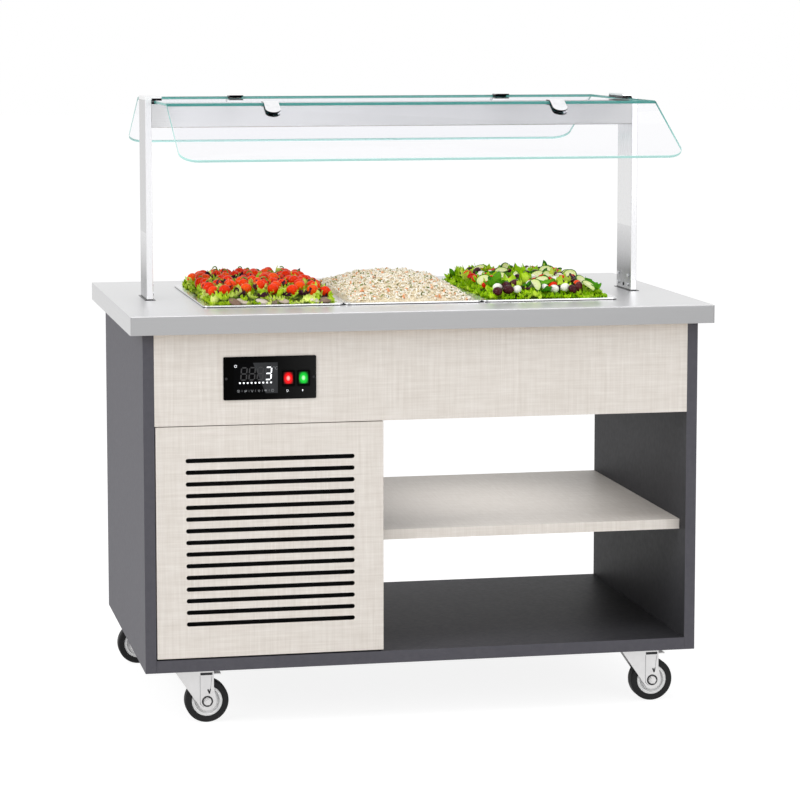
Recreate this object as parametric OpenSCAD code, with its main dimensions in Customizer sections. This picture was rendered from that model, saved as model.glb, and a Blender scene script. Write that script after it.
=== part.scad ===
// Mobile salad bar: a refrigerated cabinet on four swivel casters. Its brushed steel worktop holds a
// cold well with three food pans, and a glass canopy with a lamp stands over it on two flat posts.
// Millimetres. X runs to the right, the front faces -Y, and Z runs up from the floor under the middle.

/* [Worktop] */
// Width of the worktop to the left and to the right of the pans
top_side = 185; // [178:1:222]
// Depth of the worktop in front of and behind the pans
top_end = 160; // [153:1:185]
// Height of the work surface above the floor
top_z = 944; // [930:1:980]
// Height of the folded edge
top_edge = 42; // [36:1:50]
// Thickness of the worktop's sheet
sheet_t = 1.5; // [1:0.1:2]
// Radius of the bend along the worktop's edges
bend_r = 2.5; // [2.1:0.1:4]
// Radius of the worktop's four corners
corner_r = 4; // [3:0.5:8]
// Width of the lip that is folded under the edge
lip_w = 12; // [8:1:14]

/* [Cabinet] */
// How far the worktop stands out over the side panels
over_side = 30.5; // [22.5:0.5:34.5]
// How far the worktop stands out over the front and the rear
over_end = 31; // [25:1:37]
// Thickness of the side panels
side_t = 25; // [22:1:28]
// Thickness of the floor board
floor_t = 28; // [22:1:32]
// Height of the front and rear fascias
fascia_h = 208; // [200:1:216]
// Thickness of the fascias and of the louvred panels
fascia_t = 19; // [16:1:22]
// Thickness of the board that carries the well
deck_t = 18; // [16:1:22]
// Thickness of the divider between the two bays
divider_t = 24; // [19:1:28]
// Clear width of the machine bay
machine_w = 495.5; // [490:0.5:505]
// Side of the square battens
batten = 20; // [16:1:22]
// Gap round the front louvred panel
panel_gap = 2; // [1:0.5:4]
// Radius of the boards' front and rear edges
board_r = 1.2; // [0.5:0.1:2]

/* [Shelf] */
// Thickness of the shelf
shelf_t = 23; // [18:1:28]
// Clear height under the shelf
shelf_rise = 249; // [220:1:280]
// How far the shelf's front edge lies behind the fascia
shelf_back = 46; // [30:1:70]
// Radius of the four pins that carry the shelf
shelf_pin_r = 3; // [2:0.5:4]
// Length of the shelf's pins
shelf_pin_l = 16; // [12:1:20]

/* [Louvres] */
// Number of slots
slot_n = 15; // [8:1:16]
// Length of a slot
slot_l = 384; // [300:1:410]
// Height of a slot
slot_h = 10; // [6:0.5:14]
// Distance from one slot to the next
slot_pitch = 26.5; // [24:0.5:29]

/* [Louvred panel fixing] */
// Radius of the studs that hold the front louvred panel
stud_r = 4; // [3:0.5:5]
// Length of the studs
stud_l = 12; // [8:1:16]
// Distance of the studs from the panel's top and bottom
stud_inset = 60; // [40:1:90]

/* [Cold well] */
// Number of pans side by side
pan_n = 3; // [3:1:3]
// Width that each pan takes
pan_pitch = 325; // [322:1:328]
// Length of a pan over its rim
pan_l = 530; // [524:1:536]
// Depth of a pan
pan_depth = 100; // [65:5:110]
// Sheet thickness of the pans and the tank
pan_t = 0.9; // [0.8:0.1:1.2]
// Radius of the corners of a pan's rim
rim_r = 14; // [10:1:15]
// Height of a pan's turned-down rim
rim_h = 4.7; // [4:0.1:6]
// How far a pan's walls lean in from rim to base
pan_taper = 13; // [8:1:18]
// Depth of the tank below the work surface
tank_depth = 165; // [150:1:180]
// Thickness of the foam round the tank
foam_t = 40; // [30:1:44]
// Width of the bars between the pans
bar_w = 20; // [18:0.5:22]
// Depth of the bars between the pans
bar_h = 8; // [6:1:12]

/* [Canopy] */
// Distance from the pans to a post
post_side = 89.5; // [72.5:0.5:92.5]
// Thickness of a post from left to right
post_t = 15; // [13:1:18]
// Depth of a post from front to back
post_d = 120; // [104:1:130]
// Height of the posts above the work surface
post_h = 465; // [430:1:500]
// Wall of the posts
post_wall = 1.5; // [1.2:0.1:2]
// Depth of the lamp beam from top to bottom
beam_h = 55; // [46:1:62]
// Thickness of the three glasses
glass_t = 6; // [5:0.5:8]
// Gap between the ends of the glasses and the posts
glass_side = 7; // [5:0.5:12]
// Depth of the top glass from front to back
glass_d = 552; // [520:1:570]
// Length of a sloping glass down its slope
flap_l = 262; // [240:1:280]
// Slope of the front and rear glasses below level
flap_angle = 26; // [20:1:35]
// Radius of the sloping glasses' lower corners
flap_r = 40; // [20:1:60]
// Gap between the top glass and a sloping glass
glass_gap = 3; // [2:0.5:5]
// Distance of the clips from the middle
clip_x = 333; // [250:1:420]
// Width of a clip
clip_w = 34; // [28:1:40]
// Thickness of a clip's plates
clip_t = 3; // [2:0.5:4]
// Thickness of the caps on the posts
cap_t = 8; // [6:0.5:10]
// Thickness of the rubber pads under and over the glass
pad_t = 1.5; // [1:0.1:2.5]

/* [Controls] */
// Distance of the control panel's middle to the left of the cabinet's middle
bezel_x = 357; // [330:1:380]
// Width of the control panel
bezel_w = 210; // [204:1:220]
// Height of the control panel
bezel_h = 97; // [92:1:104]
// Thickness of the control panel
bezel_t = 2.5; // [2:0.1:3.5]
// Width of the display window
window_w = 101; // [90:1:106]
// Height of the display window
window_h = 70; // [60:1:76]
// Distance of the window's middle to the left of the control panel's
window_x = 32.5; // [31:0.5:38]
// Width of a rocker
rocker_w = 21; // [19:0.5:23]
// Height of a rocker
rocker_h = 26.4; // [24:0.4:27]
// Distance of the first rocker to the right of the control panel's middle
rocker_x = 41.5; // [40:0.5:44]
// Distance between the rockers
rocker_pitch = 34.5; // [33:0.5:36]
// Tilt of a rocker to each side
rocker_tilt = 6; // [4:0.5:8]

/* [Casters] */
// Height of the cabinet's underside above the floor
caster_h = 135; // [132:1:145]
// Diameter of the wheels
wheel_d = 100; // [94:1:104]
// Width of the wheels
wheel_w = 32; // [26:1:34]
// Radius of the hubs
hub_r = 35; // [30:1:38]
// Distance of the axle behind the swivel axis
trail = 33; // [28:1:36]
// Distance of the front swivel axes from the cabinet's sides
front_inset_x = 115; // [102:1:162]
// Distance of the front swivel axes from the cabinet's front
front_inset_y = 86; // [64:1:124]
// Distance of the rear swivel axes from the cabinet's sides
rear_inset_x = 97; // [87:1:162]
// Distance of the rear swivel axes from the cabinet's rear
rear_inset_y = 69; // [59:1:124]
// Length of a caster's plate
plate_l = 95; // [90:1:105]
// Width of a caster's plate
plate_w = 80; // [76:1:90]
// Thickness of the casters' sheet steel
fork_t = 2.5; // [2:0.1:3]
// Radius of the axles
axle_r = 5; // [4:0.5:6]

/* [Machine bay] */
// Radius of the compressor
comp_r = 75; // [60:1:80]
// Height of the compressor
comp_h = 170; // [140:1:190]
// Width of the condenser
cond_w = 300; // [260:1:330]
// Height of the condenser
cond_h = 240; // [200:1:280]
// Number of condenser fins
fin_n = 24; // [12:1:30]
// Radius of the fan's blades
fan_r = 78; // [60:1:84]
// Outer radius of the refrigerant pipe
pipe_r = 4; // [3:0.5:5]
// Number of evaporator runs under the tank
evap_n = 8; // [4:2:8]
// Outer radius of the drain pipe
drain_r = 15; // [12:1:18]
// Length of the drain lever
lever_l = 62; // [50:1:70]

/* [Fits] */
// Gap between parts that turn past each other
run_gap = 0.3; // [0.2:0.05:0.5]
// Radial clearance of pins in their bores
pin_fit = 0.05; // [0.03:0.01:0.08]
// Clearance of parts that drop into a cut-out
drop_fit = 0.5; // [0.3:0.1:0.8]

/* [Hidden] */
$fn = 64;
CORNERS = ["front_left", "front_right", "rear_left", "rear_right"];
SIDES = ["left", "right"];
PANS = ["left", "middle", "right"];

// Sizes that follow from the pans
top_w = pan_n*pan_pitch + 2*top_side;
top_d = pan_l + 2*top_end;
cab_w = top_w - 2*over_side;
cab_d = top_d - 2*over_end;
post_gap = pan_n*pan_pitch + 2*post_side;

// Heights and planes of the cabinet
under_z = top_z - top_edge;
board_z = caster_h + floor_t;
fascia_z = under_z - fascia_h;
deck_z = fascia_z + deck_t;
in_x = cab_w/2 - side_t;
in_y = cab_d/2 - fascia_t;
div_x = machine_w - in_x;
bay_x = div_x + divider_t;
shelf_z = board_z + shelf_rise;
panel_w = bay_x + in_x - panel_gap;
panel_z = board_z + 2*panel_gap;
panel_h = fascia_z - panel_gap - panel_z;
panel_x = (bay_x - in_x + panel_gap)/2;

// Cold well: the pans' rims lie on the tank's upstand, which covers the edge of the cut-out
rim_t = 1;
rim_lip = 1.2;
upstand = 4;
well_w = pan_n*pan_pitch - 24;
well_d = pan_l - 24;
well_r = 20;
upstand_w = 8;
cut_gap = 1.1;
tank_z = top_z - tank_depth;
rim_gap = 0.6;
rim_w = pan_pitch - rim_gap;
pan_side = 3;
pan_r = 30;
pan_mouth_w = pan_pitch - bar_w - 2*pan_side - 4;
pan_mouth_l = well_d - 2*pan_side;
pan_top = top_z + upstand + rim_t;
foam_w = well_w + 2*pan_t + 2*foam_t;
foam_d = well_d + 2*pan_t + 2*foam_t;
groove_w = 4;
lip_gap = 0.4;
evap_inset = 100;
evap_left = evap_inset - well_w/2;
evap_pitch = 48;
evap_y = (evap_n - 1)/2*evap_pitch;
evap_z = tank_z - pan_t - pipe_r - run_gap;
drain_inset = 36;
drain_x = drain_inset - well_w/2;
drain_y = -170;

// Canopy: the glass lies on pads on the beam, and the caps hold its ends down from the posts
post_x = post_gap/2;
post_z = top_z + post_h;
foot_x = 5;
foot_y = 7;
foot_t = 1;
glass_w = post_gap - 2*glass_side;
glass_z = post_z - pad_t - glass_t;
beam_z = glass_z - pad_t - beam_h;
cap_reach = 24;
knee_y = glass_d/2 + glass_gap/2;
knee_z = glass_z + glass_t/2;
clip_up = 30;
clip_down = 50;
tongue_t = post_t - 2*post_wall;
tongue_d = post_d - 10;
tongue_h = 60;
screw_r = 2.5;
screw_l = 8;
screw_head = 2.6;
screw_y = 40.5;
screw_rows = [14, 36];
grommet_r = 4;
grommet_z = 12;
lamp_inset = 60;
lamp_l = post_gap - 2*lamp_inset;
lamp_w = 60;
lamp_h = 16;
diffuser_t = 6;

// Controls
bezel_z = fascia_z + fascia_h/2;
bezel_cut_w = bezel_w - 23;
bezel_cut_h = bezel_h - 13;
bezel_screw_r = 1.75;
bezel_screw_l = 12;
bezel_screw_inset = 6;
display_depth = 50;
housing_wall = 1.8;
housing_w = rocker_w + 2*run_gap + 2*housing_wall;
housing_h = rocker_h + 2.4 + 2*housing_wall;
housing_depth = 20;
flange_t = 1.5;
face_depth = 5;
pivot_y = 5.5 - bezel_t - cab_d/2;
pivot_r = 1.5;
pivot_l = 1.1;
rocker_drop = -2;

// Casters
axle_z = wheel_d/2;
plate_t = 3;
race_h = 6;
race_r = 30;
crown_z = caster_h - plate_t - race_h - run_gap;
crown_r = 34;
cheek_in = wheel_w/2 + 2.5;
caster_x = cab_w/2 - front_inset_x;
caster_y = cab_d/2 - front_inset_y;
rear_x = cab_w/2 - rear_inset_x;
rear_y = cab_d/2 - rear_inset_y;
crown_front = 44;
crown_rear = 48;
knee_drop = 44;
cheek_r = 21;
king_r = 6;
king_head = 5;
nut_h = 5;
pedal_x = 38;
pedal_z = crown_z - 12;
pedal_pin = 3;
bolt_r = 4.5;

// Machine bay
tray_gap = 12;
tray_end = 30;
tray_w = machine_w - batten - 2*tray_gap;
tray_d = 2*(in_y - batten - tray_end);
tray_x = div_x - tray_gap - tray_w/2;
tray_t = 2;
tray_top = board_z + tray_t;
comp_gap = 32;
comp_x = div_x - comp_gap - comp_r;
comp_inset = 175;
comp_y = tray_d/2 - comp_inset;
comp_rise = 22;
comp_z = tray_top + comp_rise;
cond_gap = 40;
cond_x = batten + cond_gap + cond_w/2 - in_x;
cond_inset = 75;
cond_y = cond_inset - tray_d/2;
cond_t = 50;
cond_foot = 20;
cond_end_t = 2;
shroud_d = 30;
shroud_t = 1.5;
fan_hub_r = 16;
fan_hub_l = 18;
fan_z = tray_top + cond_foot + cond_h/2;
fan_y = cond_y + cond_t/2 + shroud_d/2;
shaft_r = 3;
motor_y = fan_y + fan_hub_l/2 + 3;
valve_drop = 70;
valve_z = fascia_z - valve_drop;
lever_pin_r = 5;
lever_pin_l = 8;
lever_t = 4;
gland_inset = 80;
gland_rise = 40;
gland_x = gland_inset - in_x;
gland_z = board_z + gland_rise;
gland_r = 10;
gland_bore = 4;
pin_y = 0.7*in_y;

anthracite = [0.40, 0.40, 0.43];
linen = [0.87, 0.84, 0.80];
brushed = [0.84, 0.85, 0.86];
bright = [0.92, 0.92, 0.93];
zinc = [0.86, 0.87, 0.88];
black = [0.07, 0.07, 0.08];
copper = [0.80, 0.46, 0.32];

// ---------------------------------------------------------------- shared shapes

// Rectangle of w by d about the origin with corners of radius r
module rounded_rect(w, d, r) {
    square([w - 2*r, d], center = true);
    square([w, d - 2*r], center = true);
    for (x = [-1, 1], y = [-1, 1])
        translate([x*(w/2 - r), y*(d/2 - r)])
            circle(r);
}

// Upright block on z = 0 with rounded upright edges
module rounded_block(w, d, h, r) {
    linear_extrude(h)
        rounded_rect(w, d, r);
}

// Block on z = 0 whose upper edges are bent with radius r and whose corners have radius c
module bent_block(w, d, h, r, c) {
    intersection() {
        rounded_block(w, d, h, c);
        rotate([90, 0, 0])
            linear_extrude(d + 2, center = true)
                bent_profile(w, h, r);
        rotate([90, 0, 90])
            linear_extrude(w + 2, center = true)
                bent_profile(d, h, r);
    }
}

// Rectangle on the X axis with its two upper corners rounded
module bent_profile(w, h, r) {
    translate([-w/2, 0])
        square([w, h - r]);
    translate([-w/2 + r, 0])
        square([w - 2*r, h]);
    for (x = [-1, 1])
        translate([x*(w/2 - r), h - r])
            circle(r);
}

// Slot of length l and height h with round ends, through a panel of thickness t that faces -Y
module slot_cut(l, h, t) {
    rotate([90, 0, 0])
        linear_extrude(t + 2, center = true) {
            square([l - h, h], center = true);
            for (x = [-1, 1])
                translate([x*(l - h)/2, 0])
                    circle(h/2);
        }
}

// The row of louvre slots, about the middle of a panel
module louvres(t) {
    for (i = [0:slot_n - 1])
        translate([0, 0, (i - (slot_n - 1)/2)*slot_pitch])
            slot_cut(slot_l, slot_h, t);
}

// Cylinder along Y from y0 to y1
module rod_y(r, y0, y1) {
    translate([0, y1, 0])
        rotate([90, 0, 0])
            cylinder(r = r, h = y1 - y0);
}

// Cylinder along X from x0 to x1
module rod_x(r, x0, x1) {
    translate([x0, 0, 0])
        rotate([0, 90, 0])
            cylinder(r = r, h = x1 - x0);
}

// Both mirror images of the children in X
module left_and_right() {
    children();
    mirror([1, 0, 0])
        children();
}

// Both mirror images of the children in Y
module front_and_rear() {
    children();
    mirror([0, 1, 0])
        children();
}

// Pipe of radius r with square turns along a list of points, with a soldered elbow at each turn
module piped(r, points) {
    for (i = [0:len(points) - 2])
        pipe_run(r, points[i], points[i + 1]);
    if (len(points) > 2)
        for (i = [1:len(points) - 2])
            translate(points[i])
                sphere(r + 0.6);
}

// One straight run along an axis
module pipe_run(r, a, b) {
    v = b - a;
    translate(a)
        rotate(v.x != 0 ? [0, v.x > 0 ? 90 : -90, 0] : v.y != 0 ? [v.y > 0 ? -90 : 90, 0, 0]
            : [v.z > 0 ? 0 : 180, 0, 0])
            cylinder(r = r, h = norm(v));
}

// ---------------------------------------------------------------- worktop

module well_cut() {
    translate([0, 0, under_z - 1])
        rounded_block(well_w + 2*pan_t + 2*cut_gap, well_d + 2*pan_t + 2*cut_gap, top_edge + 2,
            well_r + pan_t + cut_gap);
}

// Slots through which the post brackets pass
module bracket_cuts() {
    left_and_right()
        translate([post_x + post_t/2, 0, under_z - 1])
            linear_extrude(top_edge + 2)
                square([tongue_t + 2*drop_fit, tongue_d + 2*drop_fit], center = true);
}

module worktop_skin() {
    color(brushed)
        difference() {
            translate([0, 0, under_z])
                bent_block(top_w, top_d, top_edge, bend_r, corner_r);
            translate([0, 0, under_z + sheet_t])
                bent_block(top_w - 2*sheet_t, top_d - 2*sheet_t, top_edge - 2*sheet_t,
                    bend_r - sheet_t, corner_r - sheet_t);
            translate([0, 0, under_z - 1])
                rounded_block(top_w - 2*lip_w, top_d - 2*lip_w, top_edge/2, corner_r);
            well_cut();
            bracket_cuts();
        }
}

module worktop_core() {
    color([0.78, 0.70, 0.58])
        difference() {
            union() {
                translate([0, 0, under_z + sheet_t])
                    bent_block(top_w - 2*sheet_t, top_d - 2*sheet_t, top_edge - 2*sheet_t,
                        bend_r - sheet_t, corner_r - sheet_t);
                translate([0, 0, under_z])
                    rounded_block(top_w - 2*lip_w, top_d - 2*lip_w, 2*sheet_t, corner_r);
            }
            well_cut();
            bracket_cuts();
        }
}

// ---------------------------------------------------------------- cold well

module well_tank() {
    color(bright)
        difference() {
            union() {
                translate([0, 0, tank_z - pan_t])
                    rounded_block(well_w + 2*pan_t, well_d + 2*pan_t, tank_depth + pan_t, well_r + pan_t);
                translate([0, 0, top_z])
                    rounded_block(well_w + 2*upstand_w, well_d + 2*upstand_w, upstand, well_r);
            }
            translate([0, 0, tank_z])
                rounded_block(well_w, well_d, tank_depth + upstand + 1, well_r);
            translate([drain_x, drain_y, tank_z - 5])
                cylinder(r = drain_r - 1.5, h = 10);
            bar_places()
                translate([0, 0, top_z + upstand])
                    cube([bar_w + 2*drop_fit, well_d + 4*upstand_w, 2*upstand], center = true);
        }
}

// The middle planes between neighbouring pans
module bar_places() {
    for (i = [1:pan_n - 1])
        translate([(i - pan_n/2)*pan_pitch, 0, 0])
            children();
}

// Bars with a groove for the lips of the pans, wider at both ends where the lips turn the corner
module well_bars() {
    bar_l = well_d - 2*drop_fit;
    tab_l = well_d + 2*upstand_w - 2*drop_fit;
    corner_y = pan_l/2 - rim_r;
    lip_r = rim_r - rim_lip - lip_gap;
    notch_w = rim_gap + 2*rim_r - 2*sqrt(lip_r*lip_r - (tab_l/2 - corner_y)*(tab_l/2 - corner_y));
    color(bright)
        bar_places()
            difference() {
                union() {
                    translate([-bar_w/2, -bar_l/2, top_z - bar_h])
                        cube([bar_w, bar_l, bar_h + upstand]);
                    translate([-bar_w/2, -tab_l/2, top_z])
                        cube([bar_w, tab_l, upstand]);
                }
                translate([-groove_w/2, -tab_l, top_z - run_gap])
                    cube([groove_w, 2*tab_l, 2*upstand]);
                front_and_rear()
                    translate([-notch_w/2, -tab_l, top_z - run_gap])
                        cube([notch_w, tab_l - corner_y + 1, 2*upstand]);
            }
}

// Tapered tray, drawn in by t on every side and reaching the height over above the rim
module pan_body(t, over) {
    hull() {
        translate([0, 0, pan_top - rim_t])
            rounded_block(pan_mouth_w - 2*t, pan_mouth_l - 2*t, rim_t + over, pan_r - t, $fn = 32);
        translate([0, 0, pan_top - pan_depth + t])
            rounded_block(pan_mouth_w - 2*pan_taper - 2*t, pan_mouth_l - 2*pan_taper - 2*t, 1,
                pan_r - 6 - t, $fn = 32);
    }
}

module pan(i) {
    color(bright)
        translate([(i - (pan_n - 1)/2)*pan_pitch, 0, 0])
            difference() {
                union() {
                    difference() {
                        translate([0, 0, pan_top - rim_h])
                            rounded_block(rim_w, pan_l, rim_h, rim_r);
                        translate([0, 0, pan_top - rim_h - 1])
                            rounded_block(rim_w - 2*rim_lip, pan_l - 2*rim_lip, rim_h - rim_t + 1,
                                rim_r - rim_lip);
                    }
                    pan_body(0, 0);
                }
                pan_body(pan_t, 1);
            }
}

module well_foam() {
    pocket = 2*pipe_r + 2*run_gap;
    pocket_x = evap_left - evap_pitch/2 - 2*pipe_r;
    pocket_d = evap_n*evap_pitch;
    color([0.93, 0.88, 0.62])
        difference() {
            translate([0, 0, deck_z])
                rounded_block(foam_w, foam_d, under_z - deck_z, well_r);
            translate([0, 0, tank_z - pan_t])
                rounded_block(well_w + 2*pan_t, well_d + 2*pan_t, tank_depth, well_r + pan_t);
            translate([pocket_x, -pocket_d/2, tank_z - pan_t - pocket])
                cube([-2*pocket_x, pocket_d, pocket + 1]);
            well_holes(run_gap);
        }
}

// Holes for the drain and for the two refrigerant tails, down through the foam and the deck
module well_holes(gap) {
    translate([drain_x, drain_y, fascia_z - 1])
        cylinder(r = drain_r + gap, h = tank_z - fascia_z + 1);
    for (y = [-1, 1])
        translate([evap_left, y*evap_y, fascia_z - 1])
            cylinder(r = pipe_r + gap, h = evap_z - fascia_z);
}

// ---------------------------------------------------------------- cabinet

module side_panel() {
    translate([cab_w/2 - side_t/2, 0, caster_h])
        rounded_block(side_t, cab_d, under_z - caster_h, board_r);
}

module side_panel_left() {
    color(anthracite)
        mirror([1, 0, 0])
            side_panel();
}

module side_panel_right() {
    color(anthracite)
        difference() {
            side_panel();
            shelf_pin_shapes(pin_fit);
        }
}

module floor_board() {
    color(anthracite)
        translate([-in_x, -cab_d/2, caster_h])
            cube([2*in_x, cab_d, floor_t]);
}

module well_deck() {
    color(anthracite)
        difference() {
            translate([-in_x, -in_y, fascia_z])
                cube([2*in_x, 2*in_y, deck_t]);
            well_holes(1);
        }
}

// Where the studs of the front louvred panel enter the batten and the divider
module stud_places() {
    for (x = [-in_x + batten/2, div_x + divider_t/2])
        for (z = [panel_z + stud_inset, panel_z + panel_h - stud_inset])
            translate([x, -in_y, z])
                children();
}

module stud_bores() {
    stud_places()
        rod_y(stud_r + pin_fit, -1, stud_l + 1);
}

module bay_divider() {
    color(anthracite)
        difference() {
            translate([div_x, -in_y, board_z])
                cube([divider_t, 2*in_y, fascia_z - board_z]);
            stud_bores();
            shelf_pin_shapes(pin_fit);
        }
}

module battens() {
    color(anthracite)
        difference() {
            for (y = [-in_y, in_y - batten])
                translate([-in_x, y, board_z])
                    cube([batten, batten, fascia_z - board_z]);
            stud_bores();
        }
}

module fascia_plain() {
    translate([-in_x, -cab_d/2, fascia_z])
        cube([2*in_x, fascia_t, fascia_h]);
}

module fascia_front() {
    color(linen)
        difference() {
            fascia_plain();
            translate([-bezel_x, -cab_d/2, bezel_z])
                cube([bezel_cut_w, 3*fascia_t, bezel_cut_h], center = true);
            bezel_screw_places()
                rod_y(bezel_screw_r + pin_fit, -1, bezel_screw_l + 1);
        }
}

module fascia_rear() {
    color(linen)
        mirror([0, 1, 0])
            fascia_plain();
}

module vent_plate() {
    difference() {
        translate([0, fascia_t/2 - cab_d/2, panel_z])
            rounded_block(panel_w, fascia_t, panel_h, board_r);
        translate([0, fascia_t/2 - cab_d/2, panel_z + panel_h/2])
            louvres(fascia_t);
    }
}

module service_panel() {
    color(linen) {
        translate([panel_x, 0, 0])
            vent_plate();
        stud_places()
            rod_y(stud_r, -fascia_t/2, stud_l);
    }
}

module rear_vent_panel() {
    color(linen)
        difference() {
            mirror([0, 1, 0])
                translate([panel_x, 0, 0])
                    vent_plate();
            translate([gland_x, 0, gland_z])
                rod_y(gland_r, 0, cab_d);
        }
}

module shelf() {
    shelf_front = shelf_back - cab_d/2;
    color(linen)
        translate([(bay_x + in_x)/2, (shelf_front + cab_d/2)/2, shelf_z])
            rounded_block(in_x - bay_x, cab_d/2 - shelf_front, shelf_t, board_r);
}

// Four steel pins under the shelf, with half of their length in the side wall and the divider
module shelf_pin_shapes(grow) {
    for (x = [bay_x, in_x])
        for (y = [-pin_y, pin_y])
            translate([x, y, shelf_z - shelf_pin_r])
                rod_x(shelf_pin_r + grow, -shelf_pin_l/2, shelf_pin_l/2);
}

// ---------------------------------------------------------------- controls

// Frame of the control panel: X to the right, Y up, and Z out of the fascia's face
module on_fascia() {
    translate([-bezel_x, -cab_d/2, bezel_z])
        rotate([90, 0, 0])
            children();
}

module rocker_places() {
    for (i = [0, 1])
        translate([rocker_x + i*rocker_pitch, rocker_drop])
            children();
}

module bezel_screw_places() {
    for (x = [-1, 1])
        translate([-bezel_x + x*(bezel_w/2 - bezel_screw_inset), -cab_d/2, bezel_z])
            children();
}

module control_bezel() {
    color(black)
        on_fascia()
            linear_extrude(bezel_t)
                difference() {
                    rounded_rect(bezel_w, bezel_h, 3);
                    translate([-window_x, 0])
                        square([window_w, window_h], center = true);
                    rocker_places()
                        square([housing_w + 2*run_gap, housing_h + 2*run_gap], center = true);
                    for (x = [-1, 1])
                        translate([x*(bezel_w/2 - bezel_screw_inset), 0])
                            circle(bezel_screw_r + pin_fit);
                }
}

module display_window() {
    color([0.02, 0.02, 0.03])
        on_fascia()
            linear_extrude(bezel_t - 0.5)
                translate([-window_x, 0])
                    square([window_w - 2*run_gap, window_h - 2*run_gap], center = true);
}

// Housing of the display behind the control panel, and the two switch housings through it
module control_housings() {
    color(black) {
        on_fascia()
            translate([-window_x, 0, -display_depth])
                rounded_block(window_w + 4, window_h + 4, display_depth, 2);
        difference() {
            on_fascia()
                rocker_places() {
                    translate([0, 0, bezel_t])
                        rounded_block(housing_w + 4, housing_h + 4, flange_t, 2);
                    translate([0, 0, bezel_t - housing_depth])
                        rounded_block(housing_w, housing_h, housing_depth, 1);
                }
            on_fascia()
                rocker_places()
                    translate([0, 0, bezel_t - housing_depth + housing_wall])
                        rounded_block(housing_w - 2*housing_wall, housing_h - 2*housing_wall,
                            2*housing_depth, 0.5);
            for (i = [0, 1])
                at_rocker(i)
                    rod_x(pivot_r + pin_fit, -rocker_w/2 - pivot_l - run_gap,
                        rocker_w/2 + pivot_l + run_gap);
        }
    }
}

// Frame of rocker i, on its pivot
module at_rocker(i) {
    translate([rocker_x + i*rocker_pitch - bezel_x, pivot_y, bezel_z + rocker_drop])
        children();
}

// Rocker with a shallow V face, tilted so that its upper half is pressed in
module rocker(i) {
    end_y = face_depth + rocker_h/2*tan(rocker_tilt);
    at_rocker(i)
        rotate([-rocker_tilt, 0, 0]) {
            rotate([90, 0, 90])
                linear_extrude(rocker_w, center = true)
                    polygon([[-end_y, rocker_h/2], [-face_depth, 0], [-end_y, -rocker_h/2],
                        [4, 1 - rocker_h/2], [8, -4], [8, 4], [4, rocker_h/2 - 1]]);
            rod_x(pivot_r, -rocker_w/2 - pivot_l, rocker_w/2 + pivot_l);
        }
}

module rocker_power() {
    color([0.85, 0.10, 0.08])
        rocker(0);
}

module rocker_light() {
    color([0.10, 0.65, 0.25])
        rocker(1);
}

// ---------------------------------------------------------------- machine bay

module unit_tray() {
    wall = 18;
    color(zinc)
        translate([tray_x, 0, board_z])
            difference() {
                rounded_block(tray_w, tray_d, wall, 3);
                translate([0, 0, tray_t])
                    rounded_block(tray_w - 2*tray_t, tray_d - 2*tray_t, wall, 2);
            }
}

module compressor() {
    round_r = 30;
    foot_h = 19;
    plate_h = comp_z - tray_top - foot_h;
    color(black)
        translate([comp_x, comp_y, tray_top]) {
            translate([0, 0, foot_h + plate_h])
                rotate_extrude() {
                    square([comp_r - round_r, comp_h]);
                    translate([0, round_r])
                        square([comp_r, comp_h - 2*round_r]);
                    for (z = [round_r, comp_h - round_r])
                        translate([comp_r - round_r, z])
                            circle(round_r);
                }
            translate([0, 0, foot_h + plate_h + comp_h/2])
                cylinder(r = comp_r + 3, h = 4);
            translate([0, 0, foot_h])
                rounded_block(1.6*comp_r, 1.6*comp_r, plate_h, 12);
            for (x = [-0.6, 0.6])
                for (y = [-0.6, 0.6])
                    translate([x*comp_r, y*comp_r, 0])
                        cylinder(r = 10, h = foot_h);
            translate([comp_r - 6, -25, 70])
                cube([30, 50, 60]);
        }
}

module condenser() {
    fin_t = 0.6;
    tube_n = 6;
    pitch = (cond_w - 2*cond_end_t)/(fin_n + 1);
    color([0.55, 0.57, 0.60])
        translate([cond_x, cond_y, tray_top]) {
            for (x = [-cond_w/2, cond_w/2 - cond_end_t])
                translate([x, -cond_t/2, 0])
                    cube([cond_end_t, cond_t, cond_foot + cond_h]);
            translate([-cond_w/2, -cond_t/2, cond_foot + cond_h])
                cube([cond_w, cond_t, cond_end_t]);
            for (i = [1:fin_n])
                translate([i*pitch + cond_end_t - (cond_w + fin_t)/2, -cond_t/2 + 3, cond_foot])
                    cube([fin_t, cond_t - 6, cond_h - 3]);
            for (i = [0:tube_n - 1])
                translate([0, 0, cond_foot + (i + 0.5)*cond_h/tube_n])
                    rod_x(5, (cond_end_t - cond_w)/2, (cond_w - cond_end_t)/2);
            translate([0, cond_t/2, cond_foot + cond_h/2])
                fan_ring();
        }
}

// Plate on the back of the condenser with the ring that the fan turns in
module fan_ring() {
    ring_r = fan_r + 4;
    difference() {
        union() {
            translate([-cond_w/2, 0, -cond_h/2])
                cube([cond_w, shroud_t, cond_h + cond_end_t]);
            rod_y(ring_r + shroud_t, 0, shroud_d);
        }
        rod_y(ring_r, -1, shroud_d + 1);
    }
}

module fan_motor() {
    body_l = 45;
    body_r = 30;
    foot_d = 40;
    color([0.35, 0.35, 0.37])
        translate([cond_x, motor_y, fan_z]) {
            rod_y(body_r, 0, body_l);
            rod_y(shaft_r, fan_y - fan_hub_l/2 - motor_y, 1);
            translate([-20, body_l/2 - 1.5, tray_top - fan_z])
                cube([40, 3, fan_z - tray_top]);
            translate([-30, body_l/2 - foot_d/2, tray_top - fan_z])
                cube([60, foot_d, 3]);
        }
}

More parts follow.
